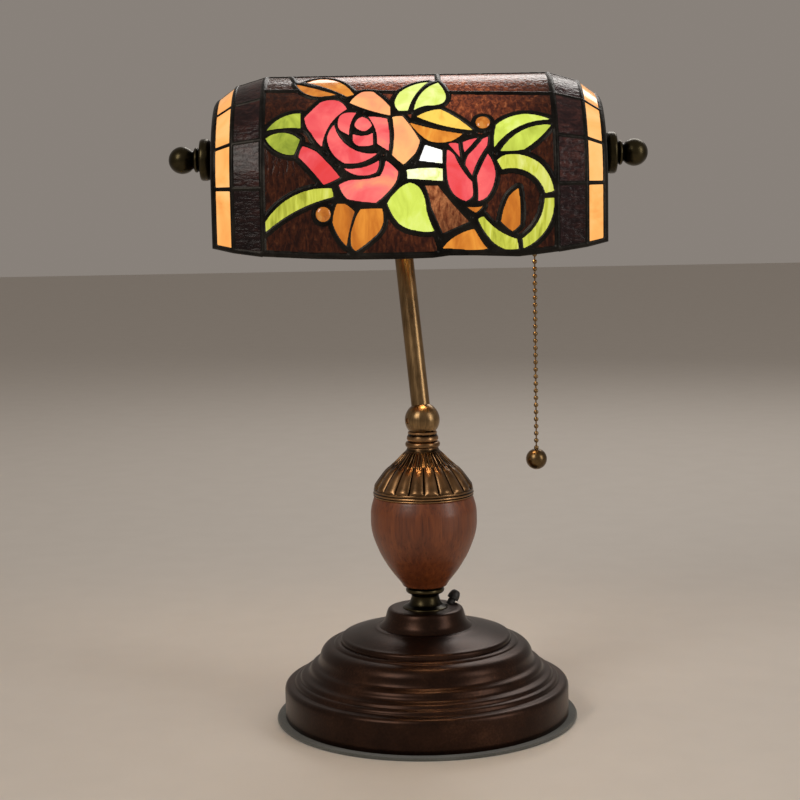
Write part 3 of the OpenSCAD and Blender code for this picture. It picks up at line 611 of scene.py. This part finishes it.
def backlit(name, stops, streak=(1, 1, 1), scale=60, hammer=0.0, gain=1.0, reach=(58, 175),
            ripple=0.25, wash=0.3, shine=0.5):
    """Glass with the bulb behind it, lit by a painted glow: it emits its own colour, brighter where the bulb
    is close.
    """
    finish = Finish(name, Coat_Weight=shine, Coat_Roughness=0.08, Specular_IOR_Level=shine,
                    Emission_Strength=1.0)
    tone = finish.node("ShaderNodeAttribute", {"attribute_name": "tone"}, {}, "Fac")
    where = finish.place()
    flow = finish.noise(finish.place(streak), scale, 4, 0.55, 0.8)
    colour = finish.ramp((flow - 0.5) * 0.9 + tone, *stops)
    # Painted glow: the glass emits light itself, strongest near the bulb and fading with distance, in place
    # of the bulb's light shining through it; on hammered glass noise breaks the glow into patches.
    away = finish.node("ShaderNodeVectorMath", {"operation": "DISTANCE"}, {
        0: where, 1: Vector((shade_x + 10, tilt.y, tilt.z + 6)) * mm}, "Value")
    near = finish.node("ShaderNodeMapRange", {"interpolation_type": "SMOOTHSTEP"}, {
        "Value": away, "From Min": reach[0] * mm, "From Max": reach[1] * mm, "To Min": 1.0,
        "To Max": 0.0})
    dimples = finish.node("ShaderNodeTexVoronoi", {"feature": "SMOOTH_F1"}, {
        "Vector": finish.place((1, 1, 0.75)), "Scale": 420.0})
    glow = (near * 0.9 + 0.1 if hammer else near * 0.7 + 0.3) * gain
    if hammer:
        glow = glow * (1 - hammer + finish.noise(where, 520, 3, 0.7) * 2 * hammer)
    lit = finish.node("ShaderNodeVectorMath", {"operation": "SCALE"}, {0: colour, "Scale": glow})
    dim = finish.node("ShaderNodeVectorMath", {"operation": "SCALE"}, {0: colour, "Scale": wash})
    finish.feed(Emission_Color=lit, Base_Color=dim, Roughness=0.12 + flow * 0.1)
    return finish.bump(dimples * (1 if hammer else 0.15) + flow * ripple, 0.35 if hammer else 0.12,
                       0.0008)


# Each pane is a clockwise list of corners (x, height, sag) in the front view. The side that
# starts at a corner is an arc whose middle stands sag outside the straight line.

rose = [
    [(-64.5, 84, 0), (-55, 93.4, 1), (-44, 94.6, 1), (-38, 89, -3.5), (-53.5, 65.5, 0.5),
     (-60, 74, 1)],
    [(-36.5, 93, 0.8), (-28.5, 100, 0.3), (-21.5, 100, 0.5), (-11, 90, 0), (-11, 84.5, 0.8)],
    [(-43.5, 82, 1), (-39.5, 86.5, 0.5), (-32, 86.5, -1.5), (-36.5, 72.5, 0), (-42, 75.5, 1)],
    [(-33.5, 78.5, 1.2), (-28.5, 84, 1.2), (-22.5, 78.5, 0.5), (-27, 75, 1)],
    [(-34.5, 73.5, -1.5), (-22, 74, 0), (-22, 66.5, 0.5), (-31, 66, 0.5), (-34.5, 69, 0)],
    [(-25, 84, 0.5), (-13, 82.5, 1), (-12.5, 62.5, 0), (-19.5, 67, -1.8)],
    [(-46, 79.5, -6.5), (-19, 61.5, 2.5), (-40, 55.5, 2.5), (-50.5, 71, 0.7)],
    [(-40.5, 52.5, -2), (-18.5, 57, 0.8), (-20.5, 49.5, 3.2)],
    [(-65.5, 66.5, 0.3), (-57, 63, 0.5), (-42.5, 47, 0.3), (-53, 42.5, -0.5), (-68, 59.5, 0.5)],
    [(-10, 83.5, 0.3), (-3.5, 84, 0.5), (7, 68.5, 0.3), (4, 61, 0.2), (-3.5, 54, 0.2),
     (-10.5, 60, -1.2)],
    [(-43.5, 42.5, 0.3), (-35.5, 45.5, -0.8), (-18, 47.5, -0.6), (-14.5, 57, 0.5),
     (-6.8, 50, 0.4), (-8.6, 43, 0.8), (-21, 31, 0.4), (-38.5, 33.5, 0.8)],
]
bud = [
    [(23.5, 63, 0.3), (28, 59.5, -1), (38.5, 43, 0.3), (39, 34.5, 0.5), (34.5, 31, 0.5),
     (27.5, 35, 0.8), (23.3, 45, 0.6)],
    [(24, 66.5, 0.3), (30.5, 66.5, 0), (31.5, 57.5, 0)],
    [(33, 67, 0.5), (42.5, 69.5, 0), (34, 60.5, 0)],
    [(45.5, 69, 0), (49, 70.5, 0), (48.5, 65, -1), (38.5, 46.5, 0), (34.5, 53, 0.6),
     (37, 60, -0.3)],
    [(48.5, 60, 1), (53, 47.5, 1), (48.5, 34.5, 0.8), (42, 31, -0.3), (41.5, 46, 0.3)],
]
green_leaves = [
    [(-88, 76.3, 3), (-66.8, 87, 0), (-66.5, 77.5, -0.8)],
    [(-88.5, 71.5, 4), (-67, 70.5, 0.3), (-71, 61, 3)],
    [(-8.5, 92.5, 0.5), (-5, 99.5, 1.5), (13.5, 106, -2), (0, 87.5, 0.2), (-6, 87.5, 0.5)],
    [(19.5, 105.5, 0.5), (24, 97, 1), (21, 91.5, 0.5), (12, 90.5, -0.5), (3.5, 87.5, 3.6)],
    [(52.5, 63.5, 0.6), (54, 77.5, 1.5), (72, 84, 1), (88.5, 80, -5)],
    [(56, 61.2, 5.2), (88.5, 77, 1), (71, 62, 0.4)],
    [(-14, 30.5, 0.5), (-8.4, 37.6, 0.8), (0, 43, 1), (7, 38.5, 0.8), (10, 27, -0.5),
     (15, 13, 0.6), (3.5, 13.5, 0.8), (-7, 18, 0.8)],
]
gold_leaves = [
    [(-64.5, 107, 6.3), (-33.5, 98.3, 0), (-38, 97, -1)],
    [(-70.5, 106, 0), (-44.5, 98.4, 0.2), (-55, 97.3, 0.6), (-64.5, 99.8, 0.6)],
    [(5, 83.5, 1), (20, 88, 1), (40, 74.3, 1.6)],
    [(0.5, 80, -0.7), (33.5, 72.3, 0.3), (26.5, 68, 0.5), (16.5, 67.3, 0.8), (8.5, 71, 0.5)],
    [(-45, 31, 0), (-40, 30.8, 0.3), (-34, 26, -0.5), (-39.5, 4.5, 1.2), (-48, 19.5, 0.5)],
    [(-30.5, 27.3, 0.3), (-17, 27.5, 0.3), (-16.5, 19, 1), (-23, 9.5, 0.3), (-34, 1.5, 0.3),
     (-36.7, 5, 1), (-35, 18, 0.5)],
    [(19.5, 2, 0.5), (26, 8.5, 0.8), (39.5, 14, 0), (43, 8, -0.3), (48, 1.5, 0.4),
     (33.5, 1.2, -0.3)],
    [(67, 38.5, 0.8), (67.8, 16, 0.3), (63, 12, 0.3), (56, 18, 0.8), (61, 33.5, 0.4)],
    [(34.5, 28, -0.8), (45, 28, 0.4), (40.5, 23.8, 0.3)],
]
ribbons = [
    [(-89.4, 14, 0), (-89.4, 20.5, 6.4), (-48, 40.5, 0.3), (-47, 35, -3)],
    [(54, 55.5, 0.5), (59.5, 59, 2.5), (81, 53, 1.5), (89, 36.3, 0), (83.5, 35, -6.3),
     (57, 50, 0)],
    [(83, 32, 0), (89, 32.3, 6), (69.8, 1.3, 0), (69, 7.5, -3.5)],
    [(41.8, 20, 0.3), (45.5, 21.5, -2), (66, 7.3, 0), (67, 1.2, 0.3), (58.5, 1, 1),
     (48.5, 8.5, 0.6)],
]
accents = [
    [(10, 66, 0), (20.7, 62.5, 0), (20.7, 54.2, 0), (6, 56.3, 0)],
    [(-2, 50.8, 0.8), (20.7, 51.3, 0), (20.7, 43.5, 0), (-1.5, 45.5, -0.4)],
    [(9.5, 41, 0), (17.5, 40.8, -0.5), (36.5, 18.5, 0), (20, 11.5, 0), (13, 28, -0.5)],
]
jewels = [(46, 79, 4.2), (-53.5, 24.5, 4.4)]

rose_tones = [0.42, 0.86, 0.38, 0.45, 0.42, 0.5, 0.36, 0.4, 0.24, 0.9, 0.5]
pieces = (
    ("rose_panes", rose, rose_tones, "rose_glass", "glass_rose"),
    ("bud_panes", bud, [0.34, 0.28, 0.28, 0.3, 0.38], "rose_glass", "glass_bud"),
    ("green_leaf_panes", green_leaves, [0.3, 0.22, 0.8, 0.76, 0.6, 0.45, 0.62], "green_glass",
     "glass_green_leaves"),
    ("gold_leaf_panes", gold_leaves, [0.5, 0.42, 0.95, 0.55, 0.3, 0.45, 0.5, 0.35, 0.3],
     "gold_glass", "glass_gold_leaves"),
    ("ribbon_panes", ribbons, [0.4, 0.5, 0.42, 0.45], "ribbon_glass", "glass_ribbons"),
    ("accent_panes", accents[:2], [0.95, 0.58], "pale_glass", "glass_accents"),
)
glass = {
    "rose_glass": backlit("rose_glass", ((0.1, (0.72, 0.03, 0.03)), (0.34, (0.8, 0.085, 0.1)),
                                         (0.52, (0.95, 0.17, 0.16)), (0.74, (0.97, 0.36, 0.16)),
                                         (1.0, (0.97, 0.5, 0.18))), scale=45, reach=(60, 240)),
    "green_glass": backlit("green_glass", ((0.1, (0.2, 0.26, 0.02)), (0.35, (0.42, 0.5, 0.05)),
                                           (0.6, (0.62, 0.75, 0.1)), (0.9, (0.85, 0.95, 0.32))),
                           streak=(1, 1, 0.4), scale=90, reach=(60, 260)),
    "gold_glass": backlit("gold_glass", ((0.1, (0.3, 0.08, 0.008)), (0.35, (0.52, 0.15, 0.012)),
                                         (0.6, (0.75, 0.27, 0.03)), (0.95, (0.9, 0.62, 0.1))),
                          streak=(1.0, 1, 0.3), scale=110, reach=(60, 250)),
    "ribbon_glass": backlit("ribbon_glass", ((0.2, (0.3, 0.32, 0.02)), (0.45, (0.58, 0.62, 0.07)),
                                             (0.75, (0.8, 0.82, 0.28))), streak=(1.4, 1, 0.25),
                            scale=190, reach=(60, 260), ripple=1.2),
    "pale_glass": backlit("pale_glass", ((0.4, (0.62, 0.7, 0.12)), (0.66, (0.95, 1.0, 0.6)),
                                         (1.0, (1.0, 1.0, 1.0))), scale=150, gain=1.1),
}
for name, panes, tones, kind, node in pieces:
    sheet = bmesh.new()
    for corners, tone in zip(panes, tones):
        pane(sheet, grown(outline(corners), under_foil), glass_t / 2, tone)
    finished(wrap(sheet), name, glass[kind], "shade", kind, node, smooth=35)

# ---- Jewels ----
# Two pressed amber cabochons, domed on the outside.

jewel_glass = backlit("jewel_glass", ((0.2, (0.3, 0.06, 0.005)), (0.5, (0.65, 0.2, 0.02)),
                                      (0.9, (0.9, 0.5, 0.12))), scale=160, gain=0.72, wash=0.4)
cabochons = bmesh.new()
for x, h, r in jewels:
    rim_r = r + 0.4
    crown = [(rim_r * math.cos(math.radians(a)), 1.0 + 1.7 * math.sin(math.radians(a)))
             for a in range(0, 91, 15)]
    dome = turned([(0, -glass_t / 2), (rim_r, -glass_t / 2)] + crown, 40)
    for v in dome.verts:
        v.co = v.co / mm + Vector((x, up_front(h), 0))
    join(cabochons, dome)
finished(wrap(cabochons), "amber_cabochons", jewel_glass, "shade", "jewel_glass", "glass_jewels")

# ---- Dark ground ----
# Hammered brown glass fills the rest of the front panel. It is one bent layer here, a little
# thinner than the picture's panes, and the solder lines divide it.


hem_line = [(-92, 0.4), (-60, -1.6), (-36, -2.4), (-8, -2.6), (14, -2.2), (24, -1), (40, -1.2),
            (67, -2.3), (80, -1), (92, 0.4)]


def hem_at(x):
    """Height of the lower edge, which waves where the pieces above it end."""
    return np.interp(x, *zip(*hem_line))


dark_stops = ((0.2, (0.03, 0.009, 0.007)), (0.42, (0.09, 0.02, 0.011)), (0.6, (0.26, 0.06, 0.02)),
              (0.85, (0.75, 0.27, 0.1)))
dark_glass = backlit("dark_glass", dark_stops, streak=(1.3, 1, 0.5), scale=330, hammer=0.8, gain=1.25,
                     reach=(46, 104), ripple=1.6, wash=0.07, shine=0.2)


def bent_layer(bm, x0, x1, v0, v1, half, tone, hem=None):
    """Adds one rectangle of glass that follows the shade's curve, or the wavy hem below."""
    flat = bmesh.new()
    bmesh.ops.create_grid(flat, x_segments=max(1, round((x1 - x0) / 6)),
                          y_segments=max(1, round((v1 - v0) / 5)), size=1)
    for v in flat.verts:
        x = x0 + (x1 - x0) * (v.co.x + 1) / 2
        low = v0 if hem is None else float(hem(x)) + 0.4
        v.co = (x, low + (v1 - low) * (v.co.y + 1) / 2, -half)
    thicken(flat, half)
    join(bm, flat, tone)


ground = bmesh.new()
bent_layer(ground, -panel, panel, 0, crest, 0.9, 0.5, hem_at)
finished(wrap(ground), "dark_ground", dark_glass, "shade", "dark_glass", "glass_ground")
pink = bmesh.new()
pane(pink, grown(outline(accents[2]), under_foil), glass_t / 2, 0.72)
finished(wrap(pink), "speckled_pane", dark_glass, "shade", "dark_glass")

# ---- Back panes, end strips and end plates ----
# The back is plain dark panes. Each end has a strip of dark rippled glass, a strip of amber
# glass and a flat dark plate that the nipple passes through.

back_columns = (-panel, -45, 0, 45, panel)
back_rows = [around - up_front(h) for h in (0, 41, 91.2)] + [crest]
back = bmesh.new()
for i, (x0, x1) in enumerate(zip(back_columns, back_columns[1:])):
    for k, (v1, v0) in enumerate(zip(back_rows, back_rows[1:])):
        bent_layer(back, x0 + 0.7, x1 - 0.7, v0 + 0.7, v1 - 0.7, 1.2, 0.46 + 0.04 * ((i * 3 + k) % 3))
finished(wrap(back), "back_panes", dark_glass, "shade", "dark_glass", "glass_back")

row_angles = (0, 25, 52, 90, 128, 155, 180)
rows = [0] + [wall + top_r * math.radians(a) for a in row_angles] + [around]
amber_glass = backlit("amber_glass", ((0.2, (0.7, 0.24, 0.04)), (0.45, (0.95, 0.42, 0.11)),
                                      (0.8, (1.0, 0.6, 0.24))), scale=35, reach=(90, 420), gain=1.06)
strip_glass = backlit("strip_glass", ((0.2, (0.006, 0.004, 0.005)), (0.5, (0.022, 0.009, 0.009)),
                                      (0.9, (0.09, 0.03, 0.022))), streak=(0.5, 1, 1.6), scale=230,
                      hammer=0.8, reach=(90, 150), ripple=2.8, wash=0.3, shine=0.16)
strips = (("dark_strips", panel, seam, strip_glass, "dark_glass", "glass_dark_strips"),
          ("amber_strips", seam, end - 1.4, amber_glass, "amber_glass", "glass_amber_strips"))
for name, x0, x1, finish, slot, node in strips:
    sheet = bmesh.new()
    for way in (-1, 1):
        for k, (v0, v1) in enumerate(zip(rows, rows[1:])):
            left, right = sorted((way * (x0 + 0.8), way * (x1 - 0.8)))
            bent_layer(sheet, left, right, v0 + 0.8, v1 - 0.8, 1.2, 0.46 + 0.05 * (k * 2 % 3))
    finished(wrap(sheet), name, finish, "shade", slot, node)

plates = bmesh.new()
plate_r, plate_hole_r = 54, 5.9
plate_low, plate_turn = edge + 5 - tilt.z, spring - tilt.z
for way in (-1, 1):
    flat = bmesh.new()
    bmesh.ops.create_circle(flat, cap_ends=False, segments=48, radius=plate_hole_r)
    rim = bmesh.ops.create_circle(flat, cap_ends=False, segments=96, radius=plate_r)["verts"]
    for v in rim:
        if v.co.y < -0.01:
            v.co = (max(-plate_r, min(plate_r, v.co.x * 1.3)), plate_low, 0)
        else:
            v.co.y += plate_turn
    bmesh.ops.remove_doubles(flat, verts=flat.verts, dist=0.01)
    bmesh.ops.bridge_loops(flat, edges=flat.edges[:])
    thicken(flat, -glass_t)
    place = Matrix.Translation((shade_x + way * (end - 0.2), tilt.y, tilt.z)) @ Matrix(
        ((0, 0, way), (1, 0, 0), (0, 1, 0))).to_4x4()
    bmesh.ops.transform(flat, verts=flat.verts, matrix=Matrix.Scale(mm, 4) @ place)
    join(plates, flat, tone=0.0)
bmesh.ops.recalc_face_normals(plates, faces=plates.faces)
finished(plates, "end_plates", dark_glass, "shade", "dark_glass", "glass_end_plates")

# ---- Solder lines ----
# Copper foil round every pane, joined by black-patinated solder that stands proud of the
# glass on both sides in soft round beads.


def black_solder():
    finish = Finish("dark_solder", Metallic=0.85)
    lumps = finish.noise(finish.place(), 320, 3, 0.6)
    cloud = finish.noise(finish.place(), 70, 3)
    finish.feed(Base_Color=finish.ramp(cloud, (0.3, (0.006, 0.0055, 0.005)),
                                       (0.7, (0.03, 0.027, 0.023))),
                Roughness=0.32 + lumps * 0.2)
    return finish.bump(lumps, 0.35, 0.0009)


lead_w = 2.6
proud = 0.7
hem_band = 2.2
rim_half = 1.3
solder = black_solder()


def off_line(px, pv, a, b):
    """Distance of many points from the segment a to b."""
    ax, av = a
    dx, dv = b[0] - ax, b[1] - av
    t = np.clip(((px - ax) * dx + (pv - av) * dv) / (dx * dx + dv * dv + 1e-12), 0, 1)
    return np.hypot(px - ax - dx * t, pv - av - dv * t)


def off_pane(px, pv, points):
    """Distance from a pane's edge, below zero inside the pane."""
    far = np.full(px.shape, 1e3)
    odd = np.zeros(px.shape, bool)
    for a, b in zip(points, points[1:] + points[:1]):
        far = np.minimum(far, off_line(px, pv, a, b))
        crosses = (a[1] > pv) != (b[1] > pv)
        odd ^= crosses & (px < (b[0] - a[0]) * (pv - a[1]) / (b[1] - a[1] + 1e-12) + a[0])
    return np.where(odd, -far, far)


def bead(inside):
    """Height of a round bead above the glass, from the distance inside its edge."""
    k = np.clip(inside / (lead_w / 2), 0, 1)
    return np.where(inside > 0, proud * np.sqrt(1 - (1 - k) ** 2), np.maximum(inside, -0.6) * 0.6)


def solder_sheet(name, x0, x1, v0, v1, cell, inside_of, rim_of, *nodes, mirror=False):
    """Makes beads where inside_of(x, v) is above zero; rim_of is how far a point is in from
    a free edge of the shade, where the bead closes round the glass."""
    sheet = bmesh.new()
    bmesh.ops.create_grid(sheet, x_segments=round((x1 - x0) / cell),
                          y_segments=round((v1 - v0) / cell), size=1)
    co = np.array([v.co for v in sheet.verts])
    px, pv = x0 + (x1 - x0) * (co[:, 0] + 1) / 2, v0 + (v1 - v0) * (co[:, 1] + 1) / 2
    inside = inside_of(px, pv)
    rim = rim_of(px, pv)
    pv = np.where(rim < -rim_half, pv - (rim + rim_half) * np.sign(crest - pv), pv)
    close = np.sqrt(np.clip(1 - np.clip((rim_half - rim) / (2 * rim_half), 0, 1) ** 2, 0.01, 1))
    lift = np.where(rim < rim_half, (glass_t / 2 + proud) * close, glass_t / 2 + bead(inside))
    for v, x, p, k in zip(sheet.verts, px, pv, lift):
        if k > glass_t / 2 + 0.1:
            k += noise.noise(Vector((x, p, 0)) / 4) * 0.12 + noise.noise(Vector((x, p, 7)) / 1.6) * 0.05
        v.co = (x, p, min(k, glass_t / 2 + proud - 0.02))
    keep = (inside > -0.5) & (rim > -rim_half)
    drop = [f for f in sheet.faces if not any(keep[v.index] for v in f.verts)]
    bmesh.ops.delete(sheet, geom=drop, context="FACES")
    loose = [v for v in sheet.verts if not v.link_faces]
    bmesh.ops.delete(sheet, geom=loose, context="VERTS")
    for f in sheet.faces:
        f.normal_flip()
    for v in bmesh.ops.extrude_face_region(sheet, geom=sheet.faces[:])["geom"]:
        if isinstance(v, bmesh.types.BMVert):
            v.co.z = -v.co.z
    if mirror:
        twin = bmesh.ops.duplicate(sheet, geom=sheet.faces[:] + sheet.verts[:] + sheet.edges[:])["geom"]
        for v in twin:
            if isinstance(v, bmesh.types.BMVert):
                v.co.x = -v.co.x
    finished(wrap(sheet), name, solder, "shade", "dark_solder", *nodes, smooth=60)


all_panes = [[tuple(p) for p in outline(c)]
             for c in rose + bud + green_leaves + gold_leaves + ribbons + accents]
all_panes += [[(x + r * math.cos(t * math.pi / 12), up_front(h) + r * math.sin(t * math.pi / 12))
               for t in range(24)] for x, h, r in jewels]
strokes = [
    ((-91, 102), (91, 97)), ((-76, 112), (-70.5, 106)), ((19.5, 105), (19.5, 114)),
    ((-91, 74), (-88, 74)), ((-47.5, 38), (-43, 33)), ((-54, 43), (-56, 39)),
    ((-53.5, 24.5), (-48, 22)), ((-37.5, 4), (-37, -4)), ((-16, 24), (-10, 22)),
    ((15, 13), (18.5, 2)), ((40, 74.3), (46, 79)), ((46, 79), (54, 76)), ((88, 78.5), (91, 78.5)),
    ((88, 34.2), (92, 34.2)), ((68, 3), (68, -4)), ((40.5, 24), (43, 20.5)),
    ((20, 11.5), (19.5, 2)), ((49, 67), (53, 66)), ((63, 12), (60, 8)),
]


hem_x = np.linspace(-92, 92, 93)
hem_h = hem_at(hem_x)


def front_rim(px, pv):
    return pv - np.interp(px, hem_x, hem_h)


def front_lines(px, pv):
    """Beads between the picture's panes, the strokes that divide the ground, and the edges."""
    nearest, second = np.full(px.shape, 99.0), np.full(px.shape, 99.0)
    for points in all_panes:
        xs, vs = zip(*points)
        close = (px > min(xs) - 8) & (px < max(xs) + 8) & (pv > min(vs) - 8) & (pv < max(vs) + 8)
        far = np.full(px.shape, 99.0)
        far[close] = off_pane(px[close], pv[close], points)
        second = np.minimum(second, np.maximum(nearest, far))
        nearest = np.minimum(nearest, far)
    inside = np.where(nearest + second < 2 * lead_w + 1, nearest, np.minimum(nearest, lead_w - nearest))
    for a, b in strokes:
        line = off_line(px, pv, (a[0], up_front(a[1])), (b[0], up_front(b[1])))
        inside = np.maximum(inside, lead_w / 2 - line)
    inside = np.maximum(inside, hem_band - front_rim(px, pv))
    inside = np.maximum(inside, lead_w / 2 - np.abs(pv - crest))
    inside = np.maximum(inside, 1.5 - np.abs(np.abs(px) - panel))
    return np.minimum(inside, nearest)


solder_sheet("front_solder", -panel - 1.9, panel + 1.9, -4.2, crest + 1.9, 0.68, front_lines, front_rim,
             "leading_front")


def back_lines(px, pv):
    inside = np.full(px.shape, -9.0)
    for x in back_columns:
        inside = np.maximum(inside, lead_w / 2 - np.abs(px - x))
    for v in back_rows[1:3]:
        inside = np.maximum(inside, lead_w / 2 - np.abs(pv - v))
    return np.maximum(inside, hem_band - (around - pv))


solder_sheet("back_solder", -panel - 1.9, panel + 1.9, crest + 1.3, around + 1.6, 0.8, back_lines,
             lambda px, pv: around - pv, "leading_back")


def end_lines(px, pv):
    inside = lead_w / 2 - np.abs(px - seam)
    for v in rows[1:-1]:
        inside = np.maximum(inside, lead_w / 2 - np.abs(pv - v))
    inside = np.maximum(inside, 2.4 - (end + 0.2 - px))
    return np.maximum(inside, hem_band - np.minimum(pv, around - pv))


def end_rim(px, pv):
    return np.minimum(np.minimum(pv, around - pv), end + 0.1 - px)


solder_sheet("end_solder", panel + 0.6, end + 1.1, -1.6, around + 1.6, 0.8, end_lines, end_rim,
             "leading_ends", mirror=True)

# ---- Pull chain ----
# A bead chain of blackened brass balls on short dumbbell links, which ends in a larger ball.

bead_r, bead_pitch = 1.6, 4.7
chain_low, chain_high = (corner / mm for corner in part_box("pull_chain"))
chain_x, chain_y = (chain_low.x + chain_high.x) / 2, (chain_low.y + chain_high.y) / 2
hang = chain_high.z - bead_r
ball_low, ball_high = (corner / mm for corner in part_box("chain_ball"))
chain_brass = antique_brass("chain_brass", (0.015, 0.01, 0.006), (0.24, 0.155, 0.07), 0.35)


def beads(bm, top, count):
    """Adds a string of balls with short links below them, from the height top down."""
    for i in range(count):
        ball = bmesh.ops.create_icosphere(bm, subdivisions=2, radius=bead_r * mm)["verts"]
        bmesh.ops.translate(bm, verts=ball, vec=Vector((chain_x, chain_y, top - i * bead_pitch)) * mm)
        link = bmesh.ops.create_cone(bm, cap_ends=True, segments=10, radius1=0.5 * mm,
                                     radius2=0.5 * mm, depth=3 * mm)["verts"]
        half_way = Vector((chain_x, chain_y, top - (i + 0.5) * bead_pitch))
        bmesh.ops.translate(bm, verts=link, vec=half_way * mm)
    return bm


string = beads(bmesh.new(), hang, int((hang - ball_high.z + 4) / bead_pitch))
finished(string, "bead_chain", chain_brass, "hanging_chain", "antique_brass", "pull_chain")
finished(beads(bmesh.new(), hang + 4 * bead_pitch, 4), "switch_beads", chain_brass, "switch_chain",
         "antique_brass", "chain_top")

ball_r = (ball_high.z - ball_low.z) / 2
ball = turned([(0, -ball_r)] + [(ball_r * math.cos(math.radians(a)), ball_r * math.sin(math.radians(a)))
                               for a in range(-84, 79, 6)]
              + eased([(1.5, ball_r - 0.12), (1.3, ball_r), (0.6, ball_r), (0.5, ball_r - 1)], 3)
              + [(0.5, ball_r - 3), (0, ball_r - 3)], 64,
              about=Vector((chain_x, chain_y, ball_low.z + ball_r)) * mm)
finished(ball, "chain_end_ball", chain_brass, "hanging_chain", "antique_brass", "chain_ball")
